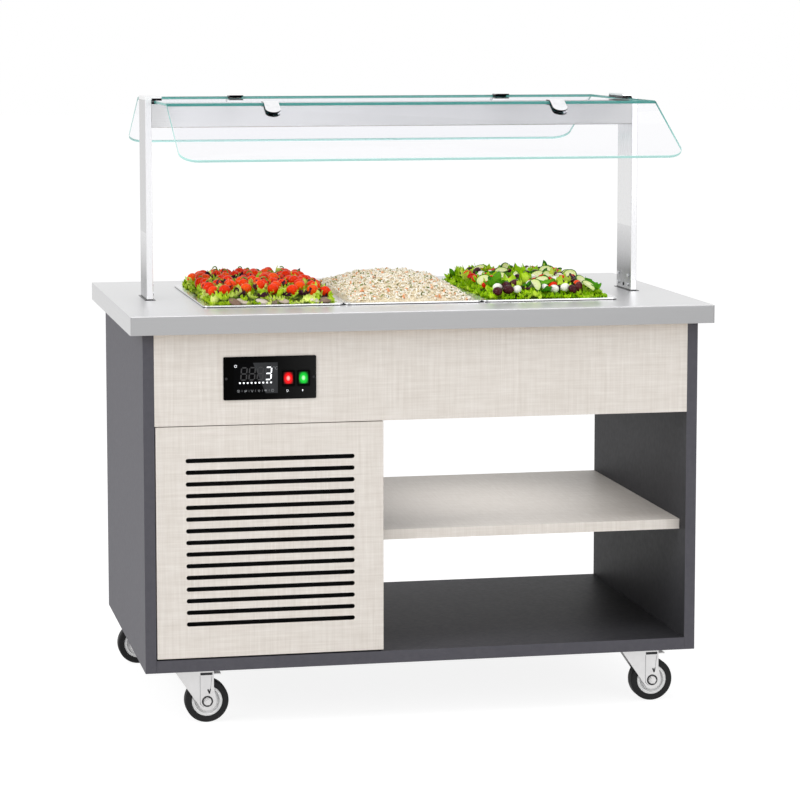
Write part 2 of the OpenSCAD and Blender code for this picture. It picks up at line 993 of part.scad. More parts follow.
module fan_rotor() {
    blade_n = 5;
    blade_w = 34;
    color([0.80, 0.81, 0.82])
        translate([cond_x, fan_y, fan_z])
            difference() {
                union() {
                    rod_y(fan_hub_r, -fan_hub_l/2, fan_hub_l/2);
                    for (i = [0:blade_n - 1])
                        rotate([0, 360/blade_n*i, 0])
                            rotate([0, 0, 28])
                                translate([-blade_w/2, -1, fan_hub_r - 4])
                                    cube([blade_w, 2, fan_r - fan_hub_r + 4]);
                }
                rod_y(shaft_r + pin_fit, -fan_hub_l, fan_hub_l);
            }
}

// Half turn of the evaporator pipe, bulging to the right
module pipe_turn() {
    rotate([0, 0, -90])
        rotate_extrude(angle = 180)
            translate([evap_pitch/2, 0])
                circle(pipe_r);
}

// Evaporator under the tank, its two tails down into the machine bay, and the line to the condenser
module copper_pipes() {
    cond_top = tray_top + cond_foot + cond_h + cond_end_t;
    comp_top = comp_z + comp_h;
    suction_drop = 130;
    liquid_drop = 190;
    hot_rise = 35;
    tail_x = 30;
    drier_r = 11;
    drier_h = 70;
    drier_rise = 20;
    stub = 10;
    tail_inset = 20;
    suction_z = fascia_z - suction_drop;
    liquid_z = fascia_z - liquid_drop;
    hot_z = cond_top + hot_rise;
    hot_x = comp_x + tail_x;
    cond_tail_x = cond_x + cond_w/2 - tail_inset;
    color(copper) {
        for (i = [0:evap_n - 1])
            translate([evap_left, -evap_y + i*evap_pitch, evap_z])
                rod_x(pipe_r, 0, -2*evap_left);
        for (i = [0:2:evap_n - 2])
            translate([-evap_left, -evap_y + (i + 0.5)*evap_pitch, evap_z])
                pipe_turn();
        for (i = [1:2:evap_n - 2])
            translate([evap_left, -evap_y + (i + 0.5)*evap_pitch, evap_z])
                mirror([1, 0, 0])
                    pipe_turn();
        piped(pipe_r, [[evap_left + stub, -evap_y, evap_z], [evap_left, -evap_y, evap_z],
            [evap_left, -evap_y, suction_z], [evap_left, comp_y, suction_z],
            [comp_x - tail_x, comp_y, suction_z], [comp_x - tail_x, comp_y, comp_top]]);
        piped(pipe_r, [[evap_left + stub, evap_y, evap_z], [evap_left, evap_y, evap_z],
            [evap_left, evap_y, liquid_z], [evap_left, cond_y, liquid_z],
            [evap_left, cond_y, cond_top]]);
        translate([evap_left, evap_y, liquid_z + drier_rise])
            cylinder(r = drier_r, h = drier_h);
        piped(pipe_r, [[hot_x, comp_y, comp_top], [hot_x, comp_y, hot_z], [hot_x, cond_y, hot_z],
            [cond_tail_x, cond_y, hot_z], [cond_tail_x, cond_y, cond_top]]);
    }
}

module cable_gland() {
    color(black)
        translate([gland_x, cab_d/2, gland_z])
            difference() {
                union() {
                    rod_y(gland_r - pin_fit, -fascia_t - 5, 1);
                    rotate([-90, 0, 0]) {
                        cylinder(r = gland_r + 4, h = 5, $fn = 6);
                        cylinder(r = gland_r - 1, h = 14);
                    }
                    translate([0, -fascia_t, 0])
                        rotate([90, 0, 0])
                            cylinder(r = gland_r + 4, h = 4, $fn = 6);
                }
                rod_y(gland_bore, -2*fascia_t, 20);
            }
}

module drain_pipe() {
    body_r = drain_r + 5;
    body_h = 44;
    outlet = 42;
    color([0.86, 0.80, 0.62])
        translate([drain_x, drain_y, 0]) {
            difference() {
                union() {
                    translate([0, 0, valve_z - outlet])
                        cylinder(r = drain_r, h = tank_z - pan_t - valve_z + outlet);
                    translate([0, 0, valve_z - body_h/2])
                        cylinder(r = body_r, h = body_h);
                }
                translate([0, 0, valve_z - outlet - 1])
                    cylinder(r = drain_r - 1.5, h = tank_z - valve_z + outlet + 2);
            }
            translate([0, 0, valve_z])
                rod_y(lever_pin_r, -body_r - lever_pin_l, -drain_r + 0.5);
        }
}

module drain_lever() {
    color([0.75, 0.12, 0.10])
        translate([drain_x, drain_y - drain_r - 5 - lever_pin_l + 1, valve_z])
            difference() {
                union() {
                    rod_y(11, 0, lever_t);
                    translate([-lever_l, 0, -7])
                        cube([lever_l, lever_t, 14]);
                }
                rod_y(lever_pin_r + pin_fit, -1, lever_t + 1);
            }
}

// ---------------------------------------------------------------- canopy

module post_screw_places() {
    for (y = [-screw_y, screw_y])
        for (z = screw_rows)
            translate([post_x, y, top_z + z])
                children();
}

module post() {
    difference() {
        translate([post_x + post_t/2, 0, top_z]) {
            rounded_block(post_t, post_d, post_h, 1.5);
            rounded_block(post_t + 2*foot_x, post_d + 2*foot_y, foot_t, 2);
        }
        translate([post_x + post_t/2, 0, top_z - 1])
            rounded_block(tongue_t, post_d - 2*post_wall, post_h + 2, 0.5);
        post_screw_places()
            rod_x(screw_r + pin_fit, -1, post_wall + 1);
        translate([post_x, 0, top_z + grommet_z])
            rod_x(grommet_r, -1, post_wall + 1);
    }
}

module posts() {
    color(brushed)
        left_and_right()
            post();
}

// Steel tongue inside each post, through the worktop, on a plate under it
module post_brackets() {
    plate = 6;
    color(zinc)
        left_and_right()
            difference() {
                union() {
                    translate([post_x + post_wall, -tongue_d/2, under_z])
                        cube([tongue_t, tongue_d, top_edge + tongue_h]);
                    translate([post_x - 30, -tongue_d/2 - 10, under_z - plate])
                        cube([post_t + 38, tongue_d + 20, plate]);
                }
                post_screw_places()
                    rod_x(screw_r + pin_fit, 0, screw_l + 1);
            }
}

module lamp_beam() {
    lip = 10;
    color(brushed)
        translate([0, 0, beam_z])
            rotate([90, 0, 90])
                linear_extrude(post_gap, center = true)
                    difference() {
                        translate([0, beam_h/2])
                            rounded_rect(post_d, beam_h, 2);
                        translate([0, beam_h/2])
                            rounded_rect(post_d - 2*sheet_t, beam_h - 2*sheet_t, 0.5);
                        translate([0, sheet_t])
                            square([post_d - 2*lip, 3*sheet_t], center = true);
                    }
}

module lamp_body() {
    color([0.80, 0.81, 0.82])
        translate([-lamp_l/2, -lamp_w/2, beam_z + beam_h - sheet_t - lamp_h])
            cube([lamp_l, lamp_w, lamp_h]);
}

module lamp_diffuser() {
    color([0.98, 0.98, 0.95])
        translate([-lamp_l/2 + 5, -lamp_w/2 + 6, beam_z + beam_h - sheet_t - lamp_h - diffuser_t])
            cube([lamp_l - 10, lamp_w - 12, diffuser_t]);
}

module canopy_top_glass() {
    color([0.75, 0.90, 0.88, 0.4])
        translate([0, 0, glass_z])
            rounded_block(glass_w, glass_d, glass_t, 3);
}

// Frame of the sloping rear glass: Y runs down the slope from the knee, and Z is square to the glass
module on_slope() {
    translate([0, knee_y, knee_z])
        rotate([-flap_angle, 0, 0])
            children();
}

module flap() {
    on_slope()
        translate([0, glass_gap/2, -glass_t/2])
            linear_extrude(glass_t) {
                translate([-glass_w/2, 0])
                    square([glass_w, flap_l - flap_r]);
                translate([-glass_w/2 + flap_r, 0])
                    square([glass_w - 2*flap_r, flap_l]);
                for (x = [-1, 1])
                    translate([x*(glass_w/2 - flap_r), flap_l - flap_r])
                        circle(flap_r);
            }
}

module canopy_rear_glass() {
    color([0.75, 0.90, 0.88, 0.4])
        flap();
}

module canopy_front_glass() {
    color([0.75, 0.90, 0.88, 0.4])
        mirror([0, 1, 0])
            flap();
}

// Side view of a clip in its own plane: two bent plates that hold both glasses
module clip_profile() {
    half = glass_t/2 + clip_t;
    difference() {
        union() {
            translate([-clip_up, -half])
                square([clip_up, 2*half]);
            circle(half);
            rotate(-flap_angle)
                translate([0, -half])
                    square([clip_down, 2*half]);
        }
        translate([-clip_up - 1 - glass_gap/2, -glass_t/2])
            square([clip_up + 1, glass_t]);
        rotate(-flap_angle)
            translate([glass_gap/2, -glass_t/2])
                square([clip_down, glass_t]);
    }
}

module clip() {
    intersection() {
        translate([0, knee_y, knee_z])
            rotate([90, 0, 90])
                linear_extrude(clip_w, center = true)
                    clip_profile();
        union() {
            on_slope()
                linear_extrude(4*clip_w, center = true) {
                    translate([0, clip_down - clip_w/2])
                        circle(clip_w/2);
                    translate([-clip_w/2, -2*clip_up])
                        square([clip_w, 2*clip_up + clip_down - clip_w/2]);
                }
        }
    }
}

module glass_clips() {
    color(bright)
        left_and_right()
            front_and_rear()
                translate([clip_x, 0, 0])
                    clip();
}

module post_caps() {
    color(brushed)
        left_and_right()
            translate([post_x + (post_t - cap_reach)/2, 0, post_z])
                rounded_block(post_t + cap_reach, post_d, cap_t, 2);
}

// Pads under and over the ends of the top glass, and the plug at each post's foot
module rubber_pads() {
    color(black)
        left_and_right() {
            translate([post_x - cap_reach, -post_d/2, glass_z + glass_t])
                cube([cap_reach - run_gap, post_d, pad_t]);
            translate([post_x - cap_reach, -post_d/2, glass_z - pad_t])
                cube([cap_reach - glass_side, post_d, pad_t]);
            translate([post_x, 0, top_z + grommet_z])
                rod_x(grommet_r, -1, post_wall);
        }
}

// Screws of the posts and of the control panel, and the pins under the shelf
module fixings() {
    color(bright) {
        shelf_pin_shapes(0);
        left_and_right()
            post_screw_places() {
                rod_x(screw_r, -1, screw_l);
                rod_x(2*screw_r - 0.5, -screw_head, 0);
            }
        bezel_screw_places() {
            rod_y(bezel_screw_r, -bezel_t - 0.5, bezel_screw_l);
            rod_y(2*bezel_screw_r - 0.5, -bezel_t - 1.2, -bezel_t);
        }
    }
}

// ---------------------------------------------------------------- casters

// Frame of caster i on the floor under its swivel axis: the front casters trail to the right and the
// rear ones to the left
module at_caster(i) {
    front = i < 2;
    side = i % 2 == 0 ? -1 : 1;
    translate([side*(front ? caster_x : rear_x), front ? -caster_y : rear_y, 0])
        rotate([0, 0, front ? 0 : 180])
            children();
}

module caster_plates() {
    color(zinc)
        for (i = [0:3])
            at_caster(i) {
                translate([0, 0, caster_h - plate_t])
                    rounded_block(plate_l, plate_w, plate_t, 5);
                translate([0, 0, caster_h - plate_t - race_h])
                    cylinder(r = race_r, h = race_h);
                translate([0, 0, crown_z - fork_t - run_gap - 1])
                    cylinder(r = king_r, h = fork_t + 2*run_gap + 2);
                translate([0, 0, crown_z - fork_t - run_gap - king_head])
                    cylinder(r = king_r + 4, h = king_head);
                for (x = [-1, 1])
                    for (y = [-1, 1])
                        translate([x*(plate_l/2 - 9), y*(plate_w/2 - 9), caster_h - plate_t - 3])
                            cylinder(r = bolt_r, h = 3);
            }
}

// Outline of a fork cheek, seen from the side: a wide top that tapers to a round end at the axle
module cheek_outline() {
    tip = [trail, axle_z];
    corner = [-crown_front, crown_z];
    reach = corner - tip;
    lean = atan2(reach.y, reach.x) + acos(cheek_r/norm(reach));
    polygon([corner, tip + cheek_r*[cos(lean), sin(lean)], tip, tip + cheek_r*[cos(20), sin(20)],
        [crown_rear, crown_z - knee_drop], [crown_rear, crown_z]]);
    translate(tip)
        circle(cheek_r);
}

module caster_fork(i) {
    cheek_out = cheek_in + fork_t;
    color(zinc)
        at_caster(i)
            difference() {
                union() {
                    for (y = [-cheek_in, cheek_out])
                        translate([0, y, 0])
                            rotate([90, 0, 0])
                                linear_extrude(fork_t)
                                    cheek_outline();
                    translate([-crown_front, -cheek_out, crown_z - fork_t])
                        cube([crown_front + crown_rear, 2*cheek_out, fork_t]);
                    translate([0, 0, crown_z - fork_t])
                        cylinder(r = crown_r, h = fork_t);
                    translate([trail, 0, axle_z])
                        rod_y(axle_r, -cheek_out - nut_h - 2, cheek_out + nut_h + 2);
                    for (y = [-cheek_out, cheek_out + nut_h])
                        translate([trail, y, axle_z])
                            rotate([90, 0, 0])
                                cylinder(r = axle_r + 4, h = nut_h, $fn = 6);
                }
                translate([0, 0, crown_z - 2*fork_t])
                    cylinder(r = king_r + pin_fit, h = 3*fork_t);
                if (i < 2)
                    translate([pedal_x, 0, pedal_z])
                        rod_y(pedal_pin + pin_fit, -2*cheek_out, 2*cheek_out);
            }
}

// Wheel profiles: X is the radius and Y runs along the axle
module hub_profile() {
    bore = axle_r + pin_fit;
    boss = [axle_r + 6, cheek_in - run_gap];
    web = wheel_w/4;
    edge = wheel_w/2 - 1.5;
    polygon([[bore, -boss.y], [boss.x, -boss.y], [boss.x, -web], [hub_r - 9, -web],
        [hub_r - 6, -edge], [hub_r, -edge], [hub_r, edge], [hub_r - 6, edge], [hub_r - 9, web],
        [boss.x, web], [boss.x, boss.y], [bore, boss.y]]);
}

module tyre_profile() {
    round_r = 5;
    inner = hub_r + pin_fit;
    outer = wheel_d/2;
    translate([inner, -wheel_w/2])
        square([outer - inner - round_r, wheel_w]);
    translate([inner, -wheel_w/2 + round_r])
        square([outer - inner, wheel_w - 2*round_r]);
    for (y = [-1, 1])
        translate([outer - round_r, y*(wheel_w/2 - round_r)])
            circle(round_r);
}

module on_axle(i) {
    at_caster(i)
        translate([trail, 0, axle_z])
            rotate([90, 0, 0])
                rotate_extrude()
                    children();
}

module caster_hub(i) {
    color([0.84, 0.84, 0.84])
        on_axle(i)
            hub_profile();
}

module caster_tyre(i) {
    color(black)
        on_axle(i)
            tyre_profile();
}

// Brake pedal of a front caster: two tongues on a sleeve that turns between the cheeks
module brake_pedal(i) {
    tongue_w = 30;
    sleeve_r = 6;
    tongue_x = plate_l/2 + 23 - pedal_x;
    color(zinc)
        at_caster(i)
            translate([pedal_x, 0, pedal_z]) {
                rod_y(pedal_pin, -cheek_in - fork_t, cheek_in + fork_t);
                rod_y(sleeve_r, -cheek_in + run_gap, cheek_in - run_gap);
                translate([0, -tongue_w/2, sleeve_r - 1.5])
                    cube([tongue_x, tongue_w, 2]);
                translate([0, -tongue_w/2, -3])
                    cube([tongue_x - 5, tongue_w, 2]);
            }
}

// ---------------------------------------------------------------- nodes

worktop_skin();
worktop_core();
well_tank();
well_foam();
well_bars();
for (i = [0:pan_n - 1])
    pan(i);
side_panel_left();
side_panel_right();
floor_board();
well_deck();
bay_divider();
battens();
fascia_front();
fascia_rear();
service_panel();
rear_vent_panel();
shelf();
control_bezel();
display_window();
control_housings();
rocker_power();
rocker_light();
unit_tray();
compressor();
condenser();
fan_motor();
fan_rotor();
copper_pipes();
cable_gland();
drain_pipe();
drain_lever();
posts();
post_brackets();
lamp_beam();
lamp_body();
lamp_diffuser();
canopy_top_glass();
canopy_front_glass();
canopy_rear_glass();
glass_clips();
post_caps();
rubber_pads();
fixings();
caster_plates();
for (i = [0:3]) {
    caster_fork(i);
    caster_hub(i);
    caster_tyre(i);
}
for (i = [0, 1])
    brake_pedal(i);
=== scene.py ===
# %% [markdown]
# # Dressing a mobile salad bar
# The solids of the salad bar come from a CAD model, in metres, with the front facing -Y. This lesson
# gives them their finishes, and adds what a solid model leaves out: clear glass with green edges, a lit
# display, dust filters behind the louvres, and three salads.
# The frame is loaded first, because every later piece is placed by it.

import math
import random

import bmesh
import bpy
from mathutils import Matrix, Vector, noise


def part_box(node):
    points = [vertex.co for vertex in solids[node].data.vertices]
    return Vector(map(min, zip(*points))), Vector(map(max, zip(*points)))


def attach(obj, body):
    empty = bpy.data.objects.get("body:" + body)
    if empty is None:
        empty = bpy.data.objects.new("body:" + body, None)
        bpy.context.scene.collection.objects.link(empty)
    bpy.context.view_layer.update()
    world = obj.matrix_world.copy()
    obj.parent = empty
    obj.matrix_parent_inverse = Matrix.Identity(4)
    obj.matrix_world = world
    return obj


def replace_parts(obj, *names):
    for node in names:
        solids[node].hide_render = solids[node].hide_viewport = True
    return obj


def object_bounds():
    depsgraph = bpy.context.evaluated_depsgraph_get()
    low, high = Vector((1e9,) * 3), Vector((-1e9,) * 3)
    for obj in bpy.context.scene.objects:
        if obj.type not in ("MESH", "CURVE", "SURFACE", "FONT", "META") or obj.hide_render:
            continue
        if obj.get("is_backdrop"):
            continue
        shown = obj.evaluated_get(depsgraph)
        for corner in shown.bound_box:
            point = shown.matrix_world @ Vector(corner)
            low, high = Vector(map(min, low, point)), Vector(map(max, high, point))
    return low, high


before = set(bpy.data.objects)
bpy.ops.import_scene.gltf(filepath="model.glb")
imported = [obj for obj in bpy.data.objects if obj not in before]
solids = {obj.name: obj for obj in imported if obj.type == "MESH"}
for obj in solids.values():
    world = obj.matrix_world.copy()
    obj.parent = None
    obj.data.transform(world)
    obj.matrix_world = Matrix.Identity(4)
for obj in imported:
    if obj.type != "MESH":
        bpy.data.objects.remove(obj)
cad_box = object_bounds()

# %% [markdown]
# ## The camera
# A catalogue picture is taken from a few metres away with a long lens, so that upright lines stay nearly
# parallel. The distance, the height and the lens come from measuring corners whose places are known from
# the solids. A small vertical shift frames the whole cart, as a view camera does.

# %% Camera
PICTURE_SIDE = 800
SENSOR = 36.0
FOCAL_PIXELS = 2880.6
CAMERA_PLACE = (-1.3739, -6.7156, 1.6034)
CAMERA_TURN = -0.2050
CAMERA_TILT = 0.1108
CAMERA_SHIFT = -0.08
CAMERA_REACH = 200

camera_data = bpy.data.cameras.new("camera")
camera_data.sensor_width = SENSOR
camera_data.lens = FOCAL_PIXELS / PICTURE_SIDE * SENSOR
camera_data.shift_y = CAMERA_SHIFT
camera_data.clip_end = CAMERA_REACH
camera = bpy.data.objects.new("camera", camera_data)
camera.location = CAMERA_PLACE
camera.rotation_euler = (math.pi / 2 - CAMERA_TILT, 0, CAMERA_TURN)
bpy.context.scene.collection.objects.link(camera)
bpy.context.scene.camera = camera
print(f"lens {camera_data.lens:.1f} mm")

# %% [markdown]
# ## Colours as they are read off a screen
# Blender's shaders want linear light, but colours are easier to write as the 0 to 255 values that a
# screen shows. One small helper changes the one into the other, and another writes the greys, which are
# all a touch bluer than neutral.

# %% From screen values to linear light
def linear(red, green, blue):
    def one(value):
        value /= 255
        return value / 12.92 if value <= 0.04045 else ((value + 0.055) / 1.055) ** 2.4

    return one(red), one(green), one(blue), 1.0


def grey(level, bluer=1):
    return level, level, level + bluer


print("mid grey:", [round(v, 3) for v in linear(128, 128, 128)])

# %% [markdown]
# ## Nodes for finishes
# Nearly every finish here is the same idea: a Principled shader whose colour, roughness and relief follow
# a noise that is stretched in some direction. Brushed steel has grains that are long one way, laminate
# has threads that cross, and rubber has fine even grains. So the helpers make a shader, a stretched noise,
# and the three ways to use it. Object coordinates are used all over, because they don't slide when a part
# moves.

# %% A shader and its nodes
def finish(name, colour, metal=0.0, rough=0.5, **sockets):
    """A Principled material. More of its sockets can be given by name, with _ for a space"""
    mat = bpy.data.materials.new(name)
    mat.use_nodes = True
    shader = mat.node_tree.nodes["Principled BSDF"]
    shader.inputs["Base Color"].default_value = linear(*colour)
    shader.inputs["Metallic"].default_value = metal
    shader.inputs["Roughness"].default_value = rough
    for socket, value in sockets.items():
        shader.inputs[socket.replace("_", " ")].default_value = value
    return mat


def shader_of(mat):
    return mat.node_tree.nodes["Principled BSDF"]


def add_node(mat, kind, **inputs):
    node = mat.node_tree.nodes.new("ShaderNode" + kind)
    for name, value in inputs.items():
        node.inputs[name.replace("_", " ")].default_value = value
    return node


def wire(mat, output, target):
    mat.node_tree.links.new(output, target)


def mixed_shaders(mat, share, first, second):
    """Makes a mix of two shaders the material's surface. The second shows where share is 1"""
    mix = add_node(mat, "MixShader")
    for source, socket in zip((share, first, second), mix.inputs):
        wire(mat, source, socket)
    wire(mat, mix.outputs[0], mat.node_tree.nodes["Material Output"].inputs["Surface"])


def placed(mat, scale, shift=(0, 0, 0)):
    """Object coordinates times scale, plus shift"""
    place = add_node(mat, "TexCoord")
    mapping = add_node(mat, "Mapping", Scale=scale, Location=shift)
    wire(mat, place.outputs["Object"], mapping.inputs["Vector"])
    return mapping.outputs["Vector"]


def grain(mat, per_metre, detail=3.0):
    """Noise with so many grains in a metre along X, Y and Z"""
    tex = add_node(mat, "TexNoise", Scale=1.0, Detail=detail)
    wire(mat, placed(mat, per_metre), tex.inputs["Vector"])
    return tex.outputs["Fac"]


print("shader helpers ready")

# %% [markdown]
# A noise is a number at every point. Ranges and ramps turn it into roughness, relief and colour.

# %% From a noise to colour, roughness and relief
def ramped(mat, value, *stops):
    """Colour that runs through (position, screen colour) stops"""
    node = add_node(mat, "ValToRGB")
    ramp = node.color_ramp
    while len(ramp.elements) < len(stops):
        ramp.elements.new(0.5)
    for element, (position, colour) in zip(ramp.elements, stops):
        element.position = position
        element.color = linear(*colour)
    wire(mat, value, node.inputs["Fac"])
    return node.outputs["Color"]


def colour_by(mat, value, *stops):
    wire(mat, ramped(mat, value, *stops), shader_of(mat).inputs["Base Color"])
    return mat


def ranged(mat, value, low, high, start=0.3, end=0.7):
    """Low where the value is at start, rising to high where it is at end"""
    node = add_node(mat, "MapRange", From_Min=start, From_Max=end, To_Min=low, To_Max=high)
    wire(mat, value, node.inputs["Value"])
    return node.outputs["Result"]


def roughen(mat, value, low, high):
    wire(mat, ranged(mat, value, low, high), shader_of(mat).inputs["Roughness"])
    return mat


def relief(mat, value, depth, strength=1.0):
    """Raises the surface by up to depth metres where value is high"""
    bump = add_node(mat, "Bump", Strength=strength, Distance=depth)
    wire(mat, value, bump.inputs["Height"])
    wire(mat, bump.outputs["Normal"], shader_of(mat).inputs["Normal"])
    return mat


print("noise helpers ready")

# %% [markdown]
# ## Masks
# One solid often has two finishes, as when a slot is sprayed black in a pale panel. The solids keep their
# meshes, so the finish itself tells the places apart, by the coordinates of a point or by the direction
# that its surface looks to. A mask is 1 there and 0 elsewhere.

# %% Masks
def sums(mat, operation, a, b):
    """A Math node on two outputs or numbers"""
    node = add_node(mat, "Math")
    node.operation = operation
    for socket, value in zip(node.inputs, (a, b)):
        if isinstance(value, (int, float)):
            socket.default_value = value
        else:
            wire(mat, value, socket)
    return node.outputs[0]


def coordinate(mat, letter, output="Object"):
    """One of the object coordinates, or with output="Normal" of the surface's direction"""
    place = add_node(mat, "TexCoord")
    split = add_node(mat, "SeparateXYZ")
    wire(mat, place.outputs[output], split.inputs["Vector"])
    return split.outputs[letter]


def off_middle(mat, letter, output="Object"):
    """A coordinate without its sign, so that both sides of the cart are the same"""
    return sums(mat, "ABSOLUTE", coordinate(mat, letter, output), 0)


def run_along(mat, letter, start, end):
    """0 where the coordinate is at start, rising to 1 where it is at end"""
    return ranged(mat, coordinate(mat, letter), 0.0, 1.0, start, end)


def over(mat, value, limit):
    return sums(mat, "GREATER_THAN", value, limit)


def under(mat, value, limit):
    return sums(mat, "LESS_THAN", value, limit)


def where_both(mat, first, second):
    return sums(mat, "MULTIPLY", first, second)


def between(mat, value, low, high):
    return where_both(mat, over(mat, value, low), under(mat, value, high))


def shared(mat, share, first, second):
    """The first value by its share, and the second by the rest"""
    rest = sums(mat, "MULTIPLY", second, 1 - share)
    return sums(mat, "ADD", sums(mat, "MULTIPLY", first, share), rest)


def overlaid(mat, mask, colour):
    """Lays another colour, or the output of a ramp, over the finish wherever the mask is 1"""
    mix = add_node(mat, "Mix")
    mix.data_type = "RGBA"
    base = shader_of(mat).inputs["Base Color"]
    wire(mat, mask, mix.inputs[0])
    wire(mat, base.links[0].from_socket, mix.inputs[6])
    if isinstance(colour, tuple):
        mix.inputs[7].default_value = linear(*colour)
    else:
        wire(mat, colour, mix.inputs[7])
    wire(mat, mix.outputs[2], base)
    return mat


print("mask helpers ready")

# %% [markdown]
# ## Brushed steel
# The worktop, the posts and the lamp beam are stainless steel that was brushed with an abrasive belt. The
# belt leaves fine lines along the sheet. Noise that is short across the lines and long along them gives
# both the uneven shine and the relief. Metal has no colour of its own to speak of, only the brightness
# with which it mirrors the room, and at a low angle every metal mirrors more.

# %% Brushed steel
BRUSH_LONG = 9
BRUSH_FINE = 700
BRUSH_DEPTH = 0.00003
BRUSH_STRENGTH = 0.35
LINES_SHARE = 0.7


def lines_and_clouds(mat, along):
    """The lines of the belt along x, y or z, and the same lines mixed with slow clouds"""
    per_metre = [BRUSH_FINE] * 3
    per_metre["xyz".index(along)] = BRUSH_LONG
    lines = grain(mat, per_metre, 4.0)
    return lines, shared(mat, LINES_SHARE, lines, grain(mat, (3, 3, 3), 2.0))


def steel_shades(shade):
    return (0.3, (shade - 5,) * 3), (0.7, grey(shade + 4))


def brushed(name, shade, along, rough=0.34):
    mat = finish(name, grey(shade), metal=1.0, rough=rough)
    lines, cloudy = lines_and_clouds(mat, along)
    colour_by(mat, cloudy, *steel_shades(shade))
    roughen(mat, cloudy, rough - 0.05, rough + 0.06)
    return relief(mat, lines, BRUSH_DEPTH, BRUSH_STRENGTH)


def painted_light_where(mat, mask, shade, along):
    """Brushed steel painted another shade wherever the mask is 1, as painted light or painted shade"""
    return overlaid(mat, mask, ramped(mat, lines_and_clouds(mat, along)[1], *steel_shades(shade)))


print("brushed steel has", BRUSH_FINE, "lines in a metre")

# %% [markdown]
# The top of the worktop, its front and its two ends are brushed apart, and each is painted its own
# brightness, as painted light for how the lamps fall on it. The front also has painted shade that darkens
# it slowly from left to right, away from the main lamp.

# %% The worktop's steel
SQUARE_ON = 0.7
WORKTOP_HALF = 0.67
RUN_SHARE = 0.85

worktop_steel = brushed("worktop_steel", 166, "x")
# Painted light: the top is painted much lighter than the front.
upward = over(worktop_steel, coordinate(worktop_steel, "Z", "Normal"), SQUARE_ON)
painted_light_where(worktop_steel, upward, 216, "x")
# Painted light: the two ends are painted lighter than the front.
sideways = over(worktop_steel, off_middle(worktop_steel, "X", "Normal"), SQUARE_ON)
painted_light_where(worktop_steel, sideways, 200, "y")
# Painted shade: the front is painted darker towards the right, away from the main lamp.
forward = under(worktop_steel, coordinate(worktop_steel, "Y", "Normal"), -SQUARE_ON)
front_run = shared(worktop_steel, RUN_SHARE, run_along(worktop_steel, "X", -WORKTOP_HALF, WORKTOP_HALF),
                   lines_and_clouds(worktop_steel, "x")[1])
front_painted_shade = ramped(worktop_steel, front_run, (0.06, grey(170)), (0.5, grey(164)), (0.94, grey(153)))
overlaid(worktop_steel, forward, front_painted_shade)
print("worktop steel: front, top and ends")

# %% [markdown]
# The posts are painted darker near the foot, a painted reflection of the food and the worktop. Their narrow
# faces are painted bright, as a painted highlight, and the right post is painted brighter than the left.
# A dark band is painted around the bottom of each post.

# %% The posts' steel
POST_FRONT = 0.0590
FOOT_LOW, FOOT_HIGH = 0.944, 1.100
FOOT_BAND_TOP = 0.9466

post_steel = brushed("post_steel", 190, "z", 0.28)
# Painted light: the right post is painted brighter than the left.
right_post = over(post_steel, coordinate(post_steel, "X"), 0.0)
painted_light_where(post_steel, right_post, 225, "z")
# Painted reflection: both posts are painted darker near the foot, for the food and worktop they mirror.
foot_rise = run_along(post_steel, "Z", FOOT_LOW, FOOT_HIGH)
foot_painted_reflection = ramped(post_steel, foot_rise, (0.0, grey(188, 2)), (0.3, grey(124, 2)), (0.6, grey(178, 2)),
                     (1.0, grey(210)))
overlaid(post_steel, under(post_steel, foot_rise, 1.0), foot_painted_reflection)
# Painted highlight: the narrow faces are painted bright, less so on the right post.
narrow_face = over(post_steel, off_middle(post_steel, "Y"), POST_FRONT)
overlaid(post_steel, narrow_face, grey(230, 2))
overlaid(post_steel, where_both(post_steel, right_post, narrow_face), grey(214, 2))
# A dark band is painted around the bottom of each post.
overlaid(post_steel, under(post_steel, coordinate(post_steel, "Z"), FOOT_BAND_TOP), grey(58, 2))
print("post steel: faces, feet and bead")

# %% [markdown]
# The beam is painted with light along it: a painted highlight beside the left post, then painted shade that
# darkens it from left to right. On the caps, the lower half of the end that lies over the glass is a black
# rubber lip.

# %% The beam's and the caps' steel
POST_SIDE = 0.5765
LIP_TOP = 1.4128

beam_steel = finish("beam_steel", grey(210), metal=1.0, rough=0.34)
beam_lines, beam_cloudy = lines_and_clouds(beam_steel, "x")
# Painted light: a painted highlight beside the left post, then painted shade towards the right.
beam_painted_light = shared(beam_steel, RUN_SHARE, run_along(beam_steel, "X", -POST_SIDE, POST_SIDE), beam_cloudy)
colour_by(beam_steel, beam_painted_light, (0.0, grey(176)), (0.05, grey(188)), (0.14, grey(220)), (0.5, grey(191)),
          (0.95, grey(164)))
roughen(beam_steel, beam_cloudy, 0.29, 0.4)
relief(beam_steel, beam_lines, BRUSH_DEPTH, BRUSH_STRENGTH)

cap_steel = brushed("cap_steel", 236, "y", 0.28)
over_glass = under(cap_steel, off_middle(cap_steel, "X"), POST_SIDE)
rubber_lip = where_both(cap_steel, over_glass, under(cap_steel, coordinate(cap_steel, "Z"), LIP_TOP))
overlaid(cap_steel, rubber_lip, grey(22, 2))
print("beam and caps done")

# %% [markdown]
# ## Bright sheet metal
# The food pans and the tank are pressed from polished sheet, the glass clips are chromed, and the casters
# are zinc plated. All are smooth, so only slow clouds of roughness and a faint orange peel keep them from
# looking like a mirror in a drawing.

# %% Bright sheet metal
def plated(name, colour, rough, peel=0.00004, per_metre=(60, 60, 60)):
    mat = finish(name, colour, metal=1.0, rough=rough)
    clouds = grain(mat, per_metre, 3.0)
    dark = tuple(v - 10 for v in colour)
    colour_by(mat, clouds, (0.3, dark), (0.7, colour))
    roughen(mat, clouds, rough * 0.8, rough * 1.3)
    return relief(mat, clouds, peel, 0.3)


